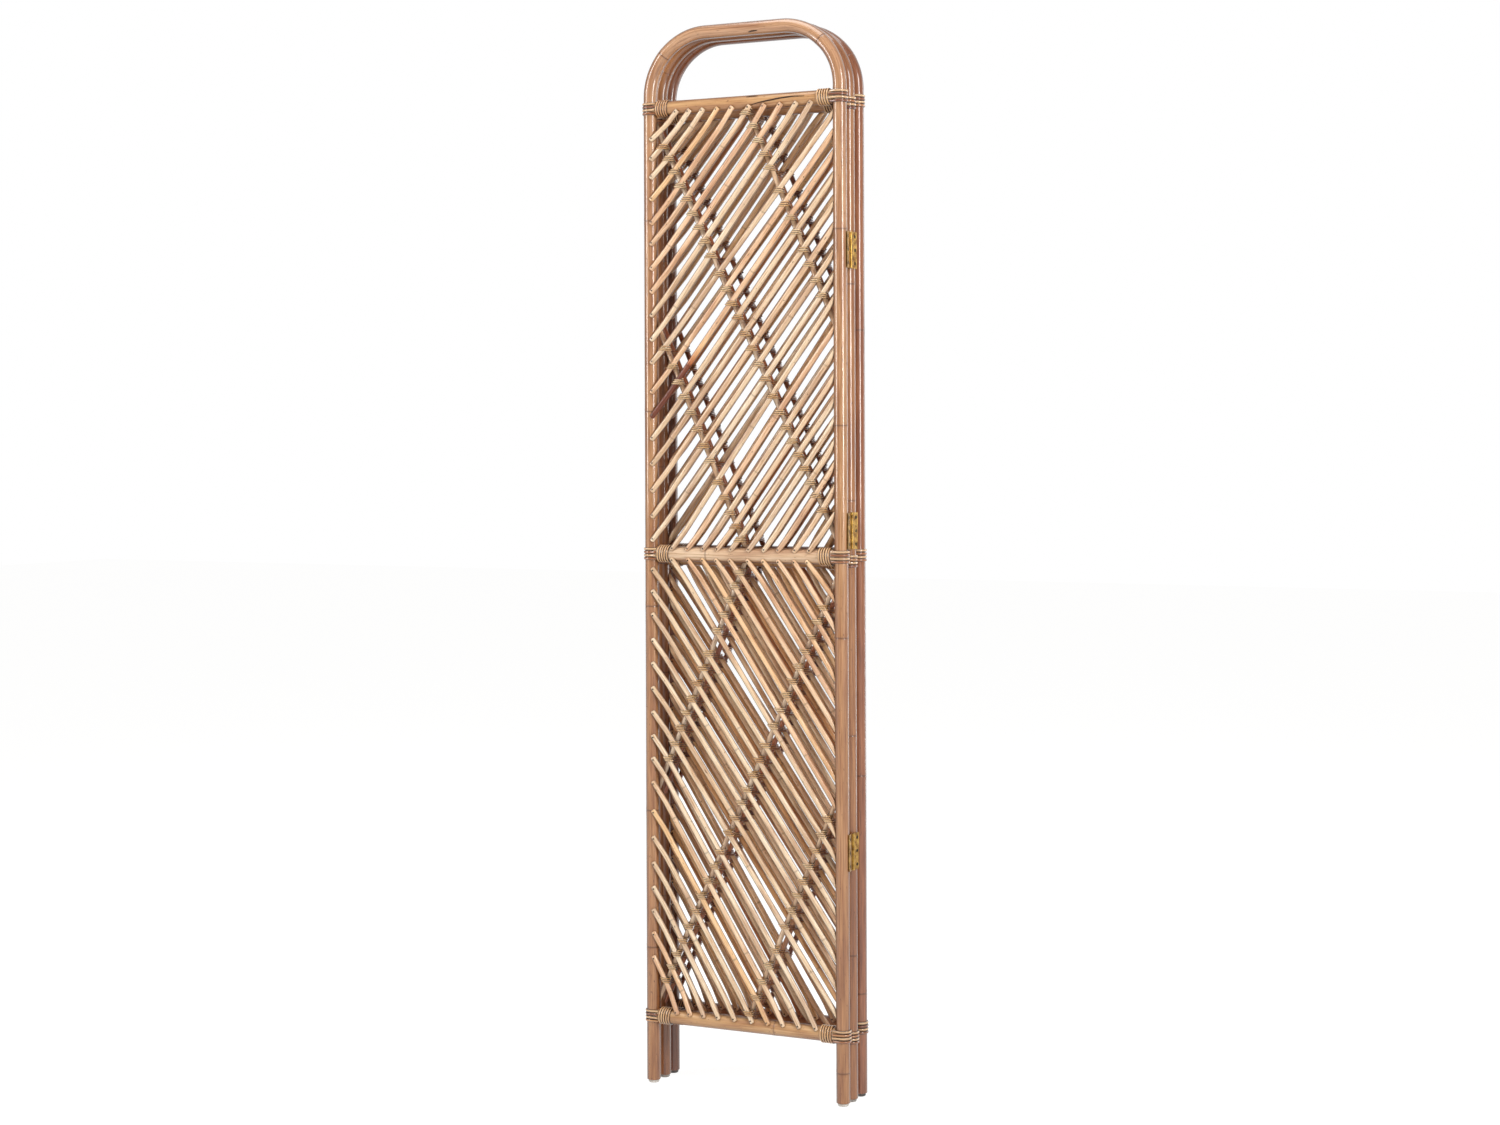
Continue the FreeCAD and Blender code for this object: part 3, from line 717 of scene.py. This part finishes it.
def make_pole(panel, seed):
    """The bent pole of a panel."""
    rings = [height * MM - FOOT_HEIGHT for height in LEFT_RINGS[panel.name]]
    rings += [pole_length - height * MM + FOOT_HEIGHT for height in RIGHT_RINGS[panel.name]]
    left, right = CORNER_RING_SHARES[panel.name]
    rings += [leg_length + left * bend_length,
              pole_length - leg_length - right * bend_length]
    places = stations(pole_length, POLE_STEP, rings)
    arch = np.arange(leg_length, pole_length - leg_length, ARC_STEP)
    places = np.unique(np.concatenate([places, arch, END_STEPS, pole_length - END_STEPS]))
    share, mark = outline(places, rings, POLE_WANDER, seed, POLE_RING_DARK)
    share[[0, -1]] -= END_ROUNDING
    mark[[0, -1]] = END_MARK
    scorch_and_shade = np.array(SCORCH_AND_SHADE[panel.name])
    mark = np.maximum(mark, np.interp(places / pole_length, scorch_and_shade[:, 0], scorch_and_shade[:, 1]))
    centres, ways = (np.array(part, float) for part in zip(*map(on_pole, places)))
    turns = round_turns(POLE_SIDES)
    reach = (POLE_R * share)[:, None] * unevenness(turns, POLE_FACETS, random.Random(seed))
    out = np.array([0.0, 1.0, 0.0])
    aside = np.cross(ways, out)
    points = (centres[:, None] + reach[..., None] * np.cos(turns)[:, None] * out
              + reach[..., None] * np.sin(turns)[:, None] * aside[:, None])
    tone = PANEL_SHADE_TONES[panel.name] * (FOOT_SHADE_TONE + (1 - FOOT_SHADE_TONE) * centres[:, 2] / ARCH_HEIGHT)
    sheaf = Sheaf()
    grain = grain_of(reach, turns, places[:, None] + seed * POLE_GRAIN_STEP)
    sheaf.add(panel.world(points), grain, tone, mark)
    sheaf.build(panel, "bent_pole", pole_rattan, "pole")
    return len(places)


for number, panel in enumerate(panels):
    print(panel.name, "pole:", make_pole(panel, 11 + number), "rings of points")

# %% [markdown]
# The crossbars and sticks end where they meet a leg or a crossbar, cut to fit round it. Each line of
# points along a cane is stopped where it would enter that round neighbour, which gives the same
# hollowed end that a carver cuts with a gouge, at whatever angle the stick comes in.

# %% Fitted ends
FIT_GAP = 0.1 * MM
TIP_REACH = 45 * MM
BUTT_ROOM = 6 * MM
TIP_ROOM = 2.2 * MM
TIP_STEPS = (0.5 * MM, 1.5 * MM)
TIP_ROUNDING = np.array([0.80, 0.94, 1.0])
TIP_MARK = np.array([0.30, 0.10, 0.0])
SKIN_SHARE = 0.97
GRAIN_STEP = 0.77


def neighbours(panel, with_bars=True):
    """What a cane can end against: the legs and crossbars as a point, a direction and a radius."""
    found = [((side * LEG_SIDE, 0, 0), (0, 0, 1), POLE_R + FIT_GAP) for side in (-1, 1)]
    if with_bars:
        found += [((0, 0, height), (1, 0, 0), radius + FIT_GAP) for height, radius in panel.bars.values()]
    return found


def line_stops(starts, way, reach_back, reach_on, round_neighbours):
    """How far back and on each line from a start runs before it meets a neighbour."""
    back = np.full(len(starts), reach_back)
    on = np.full(len(starts), reach_on)
    for point, axis, radius in round_neighbours:
        axis = np.array(axis, float)
        away = starts - np.array(point)
        away = away - np.outer(away @ axis, axis)
        flat_way = way - axis * (way @ axis)
        a = flat_way @ flat_way
        b = away @ flat_way
        c = (away ** 2).sum(1) - radius ** 2
        inside = b * b - a * c
        meets = inside > 0
        root = np.sqrt(np.where(meets, inside, 0))
        near, far = (-b - root) / a, (-b + root) / a
        on = np.where(meets & (near > 0), np.minimum(on, near), on)
        back = np.where(meets & (far < 0), np.maximum(back, far), back)
    return back, on


def tip_lift(along, stops, forward):
    """How far a cane is bent out of its plane towards its two tips; forward is a pair."""
    lift = 0
    for from_tip, reach in ((along - stops[0], forward[0]), (stops[1] - along, forward[1])):
        share = np.clip(1 - from_tip / TIP_REACH, 0, 1)
        lift = lift + reach * share ** 2 * (3 - 2 * share)
    return lift


def butts(panel, tip):
    """True for a tip that ends against a leg instead of lapping over it."""
    return panel.face * tip[0] < 0 and abs(tip[0]) > LEG_SIDE - POLE_R - BUTT_ROOM


def tip_stops(middle, way, half, overlap, round_neighbours):
    """Where a cane that laps over its neighbours' edges is sawn off, as lengths from its middle."""
    if not overlap:
        return -half, half
    inner = [(point, axis, radius - overlap) for point, axis, radius in round_neighbours]
    room = half + 2 * overlap
    low, high = line_stops(np.array([middle * (1, 0, 1)]), way, -room, room, inner)
    return low[0], high[0]


def swerve(cane, along):
    """How far a cane's bow and sway carry it aside at lengths from its middle."""
    return (cane["bow"] * np.cos(along / cane["half"] * math.pi / 2)
            + cane["sway"] * np.sin(along / cane["half"] * math.pi))


def cane_at(cane, along):
    """A place on the centre line of a fitted cane, at a length from its middle."""
    lift = tip_lift(along, cane["stops"], cane["forward"])
    return (cane["middle"] + along * cane["way"] + swerve(cane, along) * cane["aside"]
            + np.array([0, lift, 0]))


def fitted_cane(sheaf, panel, start, end, radius, make, round_neighbours, rings_of, tone_of, seed):
    """A straight cane from start to end, with its ends cut to fit what they meet."""
    way = (end - start) / np.linalg.norm(end - start)
    middle = (start + end) / 2
    half = np.linalg.norm(end - start) / 2
    shape = random.Random(seed)
    turns = round_turns(make["sides"])
    out = np.array([0.0, 1.0, 0.0])
    aside = np.cross(way, out)
    radial = np.outer(np.cos(turns), out) + np.outer(np.sin(turns), aside)
    uneven = unevenness(turns, make["facets"], shape)
    stops = tip_stops(middle, way, half, make["overlap"], round_neighbours)
    forward = [0.0 if butts(panel, tip) else panel.face * make["forward"] for tip in (start, end)]
    skins = [middle + out * lift + radial * radius * SKIN_SHARE for lift in forward]
    back = line_stops(skins[0], way, *stops, round_neighbours)[0]
    on = line_stops(skins[1], way, *stops, round_neighbours)[1]
    inner_low, inner_high = back.max() + TIP_ROOM, on.min() - TIP_ROOM
    length = inner_high - inner_low
    rings = rings_of(shape, length)
    inner = stations(length, make["step"], rings)
    share, mark = outline(inner, rings, make["wander"], seed, make["ring_dark"])
    near, far = TIP_STEPS
    along = np.concatenate([[back, back + near, back + far],
                            np.repeat((inner + inner_low)[:, None], len(turns), 1),
                            [on - far, on - near, on]])
    share = np.concatenate([share[0] * TIP_ROUNDING, share, share[-1] * TIP_ROUNDING[::-1]])
    mark = np.concatenate([TIP_MARK, mark, TIP_MARK[::-1]])
    bow, sway = shape.uniform(-1, 1) * make["bow"], shape.uniform(-1, 1) * make["bow"] / 3
    cane = {"middle": middle, "way": way, "half": half, "radius": radius, "aside": aside,
            "bow": bow, "sway": sway, "stops": stops, "forward": forward}
    reach = radius * share[:, None] * uneven
    points = (middle + along[..., None] * way + reach[..., None] * radial
              + swerve(cane, along)[..., None] * aside
              + tip_lift(along, stops, forward)[..., None] * out)
    place = (along.mean(1) - stops[0]) / (stops[1] - stops[0])
    grain = grain_of(reach, turns, along + seed * GRAIN_STEP)
    sheaf.add(panel.world(points), grain, tone_of(shape, place), mark)
    return cane


# %% [markdown]
# A crossbar is a straight length of the same cane as the pole. Its tips reach a little way round the
# leg, where the bindings hide them. The middle and the bottom bar of the front panel each have one
# node ring that shows.

# %% Crossbars
BAR_TIP_REACH = 7 * MM
BAR_MAKE = {"sides": 32, "facets": 0.012, "step": 8 * MM, "wander": 0.010, "ring_dark": 0.6,
            "bow": 0.0, "overlap": 0.0, "forward": 0.0}
BAR_RINGS = {("front", "middle_bar"): (-68,), ("front", "bottom_bar"): (55,),
             ("middle", "middle_bar"): (40,), ("middle", "bottom_bar"): (-30,),
             ("back", "middle_bar"): (15,), ("back", "top_bar"): (-50,)}
BAR_TONES = {"top_bar": 0.70, "middle_bar": 1.0, "bottom_bar": 0.74}


def make_bar(panel, bar, seed):
    """One crossbar between the legs."""
    height, radius = panel.bars[bar]
    end = np.array([LEG_SIDE - BAR_TIP_REACH, 0, height])
    rings = BAR_RINGS.get((panel.name, bar), ())
    sheaf = Sheaf()
    # Painted shade: the bars of the panels behind take those panels' darker tones.
    fitted_cane(sheaf, panel, end * (-1, 1, 1), end, radius, BAR_MAKE, neighbours(panel, False),
                lambda shape, length: [ring * MM + length / 2 for ring in rings],
                lambda shape, place: BAR_TONES[bar] * PANEL_SHADE_TONES[panel.name], seed)
    sheaf.build(panel, "cane_" + bar, bar_rattan, bar)


for number, panel in enumerate(panels):
    for place, bar in enumerate(BAR_NAMES):
        make_bar(panel, bar, 31 + 7 * number + place)
print("crossbars:", len(panels) * len(BAR_NAMES))

# %% [markdown]
# A strip of peel has a flat inner face and a rounded outer one. It follows a path, lies flat on what
# it binds, and its width runs square to both. One function sweeps that section along any path, so
# the windings, the bindings and the lashings only have to give their paths.

# %% Sweep a strip of peel
STRIP_SECTION = np.array([(-0.5, 0.0), (-0.5, 0.22), (-0.42, 0.60), (-0.26, 0.88), (0.0, 1.0),
                          (0.26, 0.88), (0.42, 0.60), (0.5, 0.22), (0.5, 0.0)])
# Painted shade: how much of the peel's dark edge colour each point of the section takes.
STRIP_EDGE_SHADE = np.array([1.0, 1.0, 0.90, 0.15, 0.0, 0.15, 0.90, 1.0, 1.0])


def travelled(path):
    """The length along a path at each of its points."""
    return np.concatenate([[0], np.cumsum(np.linalg.norm(np.diff(path, axis=0), axis=1))])


def add_strip(sheaf, panel, path, outward, width, thickness, tone, start):
    """A strip of peel whose inner face follows the path."""
    way = np.gradient(path, axis=0)
    way /= np.linalg.norm(way, axis=1)[:, None]
    outward = outward - way * (outward * way).sum(1)[:, None]
    outward /= np.linalg.norm(outward, axis=1)[:, None]
    aside = np.cross(outward, way)
    widths = np.broadcast_to(width, len(path))
    across = STRIP_SECTION[:, 0][None] * widths[:, None]
    lift = np.repeat(STRIP_SECTION[:, 1][None] * thickness, len(path), 0)
    points = path[:, None] + across[..., None] * aside[:, None] + lift[..., None] * outward[:, None]
    along = np.broadcast_to(travelled(path)[:, None] + start, across.shape)
    grain = np.stack([across, lift, along], axis=-1)
    sheaf.add(panel.world(points), grain, tone, np.tile(STRIP_EDGE_SHADE, (len(path), 1)))


# %% [markdown]
# The front panel's top bar has split a little in drying, and its skin and the arch's are nicked. An
# open split shows as a dark line, mostly the shade inside its gap, so a thin sliver of dry wood
# painted near black with that shade is laid along the cane's surface, tapered at both ends. Its
# course is read as lengths across the panel and heights on the cane.

# %% Splits in the top bar and the arch
SPLITS = (("top_bar", ((20, -5.8), (32, -3.2), (46, -1.3), (72, 2.0), (96, 3.5), (117, 2.8))),
          ("top_bar", ((10, 8.2), (20, 9.2), (31, 8.4))),
          ("arch", ((14, -7.8), (20, -6.8), (31, -6.4))))
SPLIT_WIDTH = 2.6 * MM
SPLIT_THICKNESS = 0.60 * MM
SPLIT_SUNK = 0.25 * MM
SPLIT_STEPS = 24
SPLIT_TAPER = 0.12
SPLIT_GRIT_SIZES = (1.5 * MM,) * 3
SPLIT_SHADE_STOPS = ((0.35, "#1E1008"), (0.65, "#4A2C18"))


def split_shade_and_dry_wood():
    """Dry wood inside a split, drawn near black as painted shade: rough and without lacquer."""
    material, tree = new_material("dry split wood in painted shade")
    grit = noise(tree, cane_values(tree)[0], SPLIT_GRIT_SIZES, 2.0)
    lay_surface(tree, {"Roughness": 0.85}, colour_ramp(tree, grit, SPLIT_SHADE_STOPS))
    return material


def lay_split(sheaf, panel, height, radius, course):
    """A tapered dark sliver along a course on the face of a level cane."""
    course = np.array(course) * MM
    across = np.linspace(course[0, 0], course[-1, 0], SPLIT_STEPS)
    lift = np.interp(across, course[:, 0], course[:, 1])
    depth = panel.face * np.sqrt(radius ** 2 - lift ** 2)
    out = np.column_stack([np.zeros(SPLIT_STEPS), depth / radius, lift / radius])
    path = np.column_stack([across, depth, height + lift]) - out * SPLIT_SUNK
    taper = np.sqrt(np.sin(np.linspace(SPLIT_TAPER, math.pi - SPLIT_TAPER, SPLIT_STEPS)))
    add_strip(sheaf, panel, path, out, SPLIT_WIDTH * taper, SPLIT_THICKNESS, 1.0, 0.0)


def make_splits(panel):
    """The splits and nicks of a panel, as one piece."""
    sheaf = Sheaf()
    level_canes = dict(panel.bars, arch=(ARCH_HEIGHT, POLE_R))
    for cane, course in SPLITS:
        lay_split(sheaf, panel, *level_canes[cane], course)
    sheaf.build(panel, "splits", split_shade_and_dry_wood())


make_splits(panels[0])
print("splits and nicks:", len(SPLITS))

# %% [markdown]
# The sticks are thinner canes, sawn to length and nailed. Their tips come forward over the edge of
# the frame and are sawn off square there, but those at one leg are cut to end against it. Each is
# slightly bowed, has a node ring every two or three hundred millimetres and its own tone: most are
# straw coloured, some are darker. The rods behind them are made in the same way and slant against
# them, but end against the frame.

# %% Sticks and rods
NODE_GAP = (190 * MM, 330 * MM)
NODE_END_ROOM = 12 * MM
DARK_STICK = ("front", "upper_sticks", 12)
DARK_TO_PALE = ((0.0, 0.20, 0.32), (0.0, 0.01, 0.6))
PALE_LEANING = 0.7
CANE_MAKE = {"sides": 16, "facets": 0.035, "step": 12 * MM, "wander": 0.035, "ring_dark": 0.38}
STICK_MAKE = CANE_MAKE | {"bow": 1.1 * MM, "overlap": 7.0 * MM, "forward": 6.0 * MM}
ROD_MAKE = CANE_MAKE | {"bow": 0.5 * MM, "overlap": 0.0, "forward": 0.0}
# Painted shade: the two panels behind get darker tone ranges for their sticks and rods, as they stand in
# the front panel's shade; within a range the tone differs at random.
STICK_TONE_AND_SHADE_RANGE = {"front": (0.42, 1.0), "middle": (0.16, 0.85), "back": (0.10, 0.7)}
ROD_TONE_AND_SHADE_RANGE = {"front": (0.55, 1.0), "middle": (0.1, 0.4), "back": (0.0, 0.3)}
KINDS = {"sticks": (STICK_MAKE, STICK_TONE_AND_SHADE_RANGE, stick_rattan, "stick_rattan"),
         "rods": (ROD_MAKE, ROD_TONE_AND_SHADE_RANGE, rod_rattan, "rod_rattan")}
FULLNESS = {"upper_sticks": 1.10, "upper_rods": 1.07, "lower_sticks": 1.0, "lower_rods": 1.0}


def cane_ring_places(shape, length):
    """Node rings at uneven gaps along a stick."""
    places = []
    place = shape.uniform(0.1, 1.0) * NODE_GAP[1]
    while place < length - NODE_END_ROOM:
        if place > NODE_END_ROOM:
            places.append(place)
        place += shape.uniform(*NODE_GAP)
    return places


def dark_then_pale(shape, place):
    """The tone of the one stick that is dark over its lower part."""
    return np.interp(place, *DARK_TO_PALE)


def make_canes(panel, node, kind, seed):
    """All the sticks or rods of one lattice, as one object."""
    make, tone_and_shade_ranges, material, slot = KINDS[kind]
    low_tone, high_tone = tone_and_shade_ranges[panel.name]
    sheaf = Sheaf()
    made = []

    def own_tone(shape, place):
        return low_tone + (high_tone - low_tone) * shape.random() ** PALE_LEANING

    for index, (start, end, radius) in enumerate(panel.rods(node)):
        tone_of = dark_then_pale if (panel.name, node, index) == DARK_STICK else own_tone
        made.append(fitted_cane(sheaf, panel, start, end, radius * FULLNESS[node], make,
                                neighbours(panel), cane_ring_places, tone_of, seed + index))
    sheaf.build(panel, "cane_" + node, material, node)
    return made


canes = {}
for number, panel in enumerate(panels):
    for half_number, half in enumerate(("upper", "lower")):
        for kind_number, kind in enumerate(KINDS):
            seed = 1000 * (number + 1) + 300 * half_number + 100 * kind_number
            canes[panel.name, half, kind] = make_canes(panel, half + "_" + kind, kind, seed)
print("sticks and rods:", sum(len(group) for group in canes.values()))

# %% [markdown]
# A brad holds each stick's tip to the frame. Only its small dark head shows, and it stands on the
# lifted tip, so the brads are turned here from a few rings each, with a shank that ends in the wood.

# %% Brads
BRAD_FROM_END = 4.6 * MM
BRAD_PROFILE = ((-7.0, 0.6), (-0.3, 0.6), (-0.3, 1.35), (0.1, 1.35), (0.4, 0.7))
BRAD_SIDES = 10
BRAD_SEAT = 0.955


def add_brad(sheaf, panel, cane, along):
    """One brad, driven through a stick's tip from the front."""
    turns = round_turns(BRAD_SIDES)
    depth, radius = np.array(BRAD_PROFILE).T[..., None] * MM
    rings = np.stack([radius * np.cos(turns),
                      panel.face * (cane["radius"] * BRAD_SEAT + depth) + 0 * turns,
                      radius * np.sin(turns) * -panel.face], axis=-1) + cane_at(cane, along)
    sheaf.add(panel.world(rings), rings, 1.0, np.zeros(len(rings)))


def make_brads(panel):
    """The brads of a panel, two a stick."""
    sheaf = Sheaf()
    sticks = canes[panel.name, "upper", "sticks"] + canes[panel.name, "lower", "sticks"]
    for stick in sticks:
        low, high = stick["stops"]
        add_brad(sheaf, panel, stick, low + BRAD_FROM_END)
        add_brad(sheaf, panel, stick, high - BRAD_FROM_END)
    sheaf.build(panel, "steel_brads", nail_steel, "nails")
    return 2 * len(sticks)


print("brads:", sum(make_brads(panel) for panel in panels))

# %% [markdown]
# At each end of a crossbar the peel is wound five times round the bar, each turn tight against the
# last. Four more strands go round the outside of the leg, one above the other, and their ends are
# trapped under those turns.

# %% Windings at the joints
WIND_TURNS = 5
WIND_PITCH = 4.4 * MM
WIND_START = 15.2 * MM
WIND_WIDTH = 4.1 * MM
WIND_UNEVEN = 0.25 * MM
WIND_STEPS = 36
STRAND_COUNT = 4
STRAND_PITCH = 5.4 * MM
STRAND_WIDTH = 4.5 * MM
STRAND_ARC = np.radians(np.linspace(-100, 100, 41))
STRAND_TAIL = (7 * MM, 11 * MM, 14 * MM)
STRAND_TAIL_STEPS = np.linspace(0, 2, 9)
STRAND_LEAVE = 0.9
STRAND_DIP = 0.5 * MM
STRAND_WOBBLE = 0.2
# Tone of the peel and painted shade: strands alternate dark and pale, standing in for the dark lines
# between them.
STRAND_TONES_AND_SHADE = ((0.0, 0.4), (0.8, 1))
WIND_TONES = (0.45, 1)
GRAIN_STARTS = (0, 9)
PEEL_THICKNESS = 1.9 * MM
PEEL_GAP = 0.1 * MM


def bar_winding(sheaf, panel, height, radius, side, shape):
    """The turns of peel round one end of a crossbar, which start and end behind it."""
    count = WIND_TURNS * WIND_STEPS + 1
    turn = np.arange(count) / WIND_STEPS
    angle = turn * FULL_TURN + (0 if panel.face > 0 else math.pi)
    knots = [shape.uniform(-1, 1) * WIND_UNEVEN for _ in range(WIND_TURNS + 1)]
    uneven = np.interp(turn, np.arange(WIND_TURNS + 1), knots)
    across = side * (LEG_SIDE - WIND_START - WIND_PITCH * turn + uneven)
    out = np.column_stack([np.zeros(count), -np.cos(angle), np.sin(angle)])
    path = out * (radius + PEEL_GAP) + np.column_stack([across, np.zeros(count), np.full(count, height)])
    add_strip(sheaf, panel, path, out, WIND_WIDTH, PEEL_THICKNESS,
              shape.uniform(*WIND_TONES), shape.uniform(*GRAIN_STARTS))


def leg_strands(sheaf, panel, height, bar_radius, side, shape):
    """Level strands of peel round the outside of a leg, with their ends on the crossbar."""
    centre = side * LEG_SIDE
    inner = POLE_R + PEEL_GAP
    arc = np.column_stack([centre + side * inner * np.cos(STRAND_ARC), inner * np.sin(STRAND_ARC)])
    for strand in range(STRAND_COUNT):
        lift = (strand - (STRAND_COUNT - 1) / 2) * STRAND_PITCH
        on_bar = math.sqrt(bar_radius ** 2 - lift ** 2) + PEEL_GAP
        leave = max((on_bar + arc[-1, 1]) / 2, inner * STRAND_LEAVE)
        tail = np.column_stack([
            centre - side * np.interp(STRAND_TAIL_STEPS, range(3), STRAND_TAIL),
            np.interp(STRAND_TAIL_STEPS, range(3), (leave, on_bar, on_bar - STRAND_DIP))])
        plan = np.concatenate([tail[::-1] * (1, -1), arc, tail])
        level = height + lift + shape.uniform(-STRAND_WOBBLE, STRAND_WOBBLE) * MM
        path = np.column_stack([plan, np.full(len(plan), level)])
        out = path - (centre, 0, level)
        past_leg = side * out[:, 0] < -STRAND_TAIL[0]
        out[past_leg, 0] = 0
        out[past_leg, 1] = np.sign(plan[past_leg, 1])
        add_strip(sheaf, panel, path, out, STRAND_WIDTH, PEEL_THICKNESS,
                  shape.uniform(*STRAND_TONES_AND_SHADE[strand % 2]), shape.uniform(*GRAIN_STARTS))


def joint_windings(panel, seed):
    """Both kinds of winding at the six joints of a panel."""
    sheaf = Sheaf()
    shape = random.Random(seed)
    for height, radius in panel.bars.values():
        for side in (-1, 1):
            leg_strands(sheaf, panel, height, radius, side, shape)
            bar_winding(sheaf, panel, height, radius, side, shape)
    sheaf.build(panel, "peel_windings", binding_peel, "joint_wraps")


for number, panel in enumerate(panels):
    joint_windings(panel, 71 + number)
print("joints wound:", 6 * len(panels))

# %% [markdown]
# Wherever a stick crosses a rod, a narrow strip of peel ties the two together. It goes round both of
# them in level turns. Seen from above, the strip is pulled tight round two ovals, the slanting stick
# and the slanting rod cut level, so each turn is the outline that a string takes round both.

# %% Lashings
LASH_TURNS = 3.3
LASH_WIDTH = 2.8 * MM
LASH_THICKNESS = 1.4 * MM
LASH_PITCH = 2.9 * MM
LASH_GAP = 0.12 * MM
LASH_EDGE_ROOM = 11 * MM
LASH_STEPS = 22
LASH_PATH_STEP = 2.0 * MM
LASH_STARTS = (0.35, 0.65)
LASH_SHIFT = 0.5
LASH_LEAN = 0.10
# Painted shade: the lashings of the two panels behind get darker tones.
LASH_TONE_AND_SHADE_RANGE = {"front": (0.45, 1.0), "middle": (0.1, 0.4), "back": (0.0, 0.3)}


def crossing(stick, rod):
    """Where a stick and a rod cross in the panel's plane, as lengths from their middles."""
    across = np.array([[stick["way"][0], -rod["way"][0]], [stick["way"][2], -rod["way"][2]]])
    between = rod["middle"] - stick["middle"]
    return np.linalg.solve(across, (between[0], between[2]))


def oval_point(normal, centre, half_across, half_out):
    """How far an oval reaches in a direction, and its point that lies furthest that way."""
    scale = math.hypot(half_across * normal[0], half_out * normal[1])
    point = (centre[0] + half_across ** 2 * normal[0] / scale,
             centre[1] + half_out ** 2 * normal[1] / scale)
    return point[0] * normal[0] + point[1] * normal[1], point


def tight_turn(level, share, tied):
    """A point of the tight outline round tied canes at one level, and the way out there."""
    angle = share * FULL_TURN
    normal = (math.sin(angle), math.cos(angle))
    found = []
    for cane, place in tied:
        way, radius = cane["way"], cane["radius"] + LASH_GAP
        centre = (place[0] + (level - place[2]) * way[0] / way[2], place[1])
        found.append(oval_point(normal, centre, radius / abs(way[2]), radius))
    return (*max(found)[1], level, *normal, 0)


def make_lashing(sheaf, panel, stick, rod, shape):
    """One lashing of a few turns round a stick and a rod."""
    on_stick, on_rod = crossing(stick, rod)
    tied = ((stick, cane_at(stick, on_stick)), (rod, cane_at(rod, on_rod)))
    first = shape.uniform(*LASH_STARTS) + (0.5 if panel.face < 0 else 0)
    middle = (tied[0][1][2] + tied[1][1][2]) / 2 + shape.uniform(-LASH_SHIFT, LASH_SHIFT) * MM
    turns = np.arange(round(LASH_TURNS * LASH_STEPS) + 1) / LASH_STEPS
    course = np.array([tight_turn(middle + (turn - LASH_TURNS / 2) * LASH_PITCH, first + turn, tied)
                       for turn in turns])
    lengths = travelled(course[:, :3])
    even = np.linspace(0, lengths[-1], int(lengths[-1] / LASH_PATH_STEP) + 2)
    course = np.column_stack([np.interp(even, lengths, column) for column in course.T])
    path, out = course[:, :3], course[:, 3:]
    path[:, 2] += (path[:, 0] - tied[0][1][0]) * shape.uniform(-LASH_LEAN, LASH_LEAN)
    add_strip(sheaf, panel, path, out, LASH_WIDTH, LASH_THICKNESS,
              shape.uniform(*LASH_TONE_AND_SHADE_RANGE[panel.name]), shape.uniform(*GRAIN_STARTS))


def make_lashings(panel, seed):
    """Every lashing of a panel, wherever a stick crosses a rod clear of the frame."""
    sheaf = Sheaf()
    shape = random.Random(seed)
    total = 0
    top, middle, bottom = (height for height, _ in panel.bars.values())
    for half, low, high in (("upper", middle, top), ("lower", bottom, middle)):
        for stick in canes[panel.name, half, "sticks"]:
            for rod in canes[panel.name, half, "rods"]:
                x, _, z = cane_at(stick, crossing(stick, rod)[0])
                if abs(x) > LEG_SIDE - POLE_R - LASH_EDGE_ROOM:
                    continue
                if low + LASH_EDGE_ROOM < z < high - LASH_EDGE_ROOM:
                    make_lashing(sheaf, panel, stick, rod, shape)
                    total += 1
    sheaf.build(panel, "peel_lashings", lashing_peel, "lashings")
    return total


for number, panel in enumerate(panels):
    print(panel.name, "lashings:", make_lashings(panel, 91 + number))

# %% [markdown]
# The measured metal and plastic parts keep their shapes. They only need their surfaces, which go
# into the material slots they already have.

# %% Finish the metal and plastic parts
FINISHES = {"_leaf": hinge_brass, "_pin": pin_brass, "_screws": shade_dark_screw_brass,
            "front_glides": pale_nylon, "middle_glides": half_shaded_nylon, "back_glides": deep_shaded_nylon}

finished = 0
for ending, material in FINISHES.items():
    for name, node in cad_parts.items():
        if name.endswith(ending):
            node.data.materials.clear()
            node.data.materials.append(material)
            finished += 1
print("measured parts with a new surface:", finished)
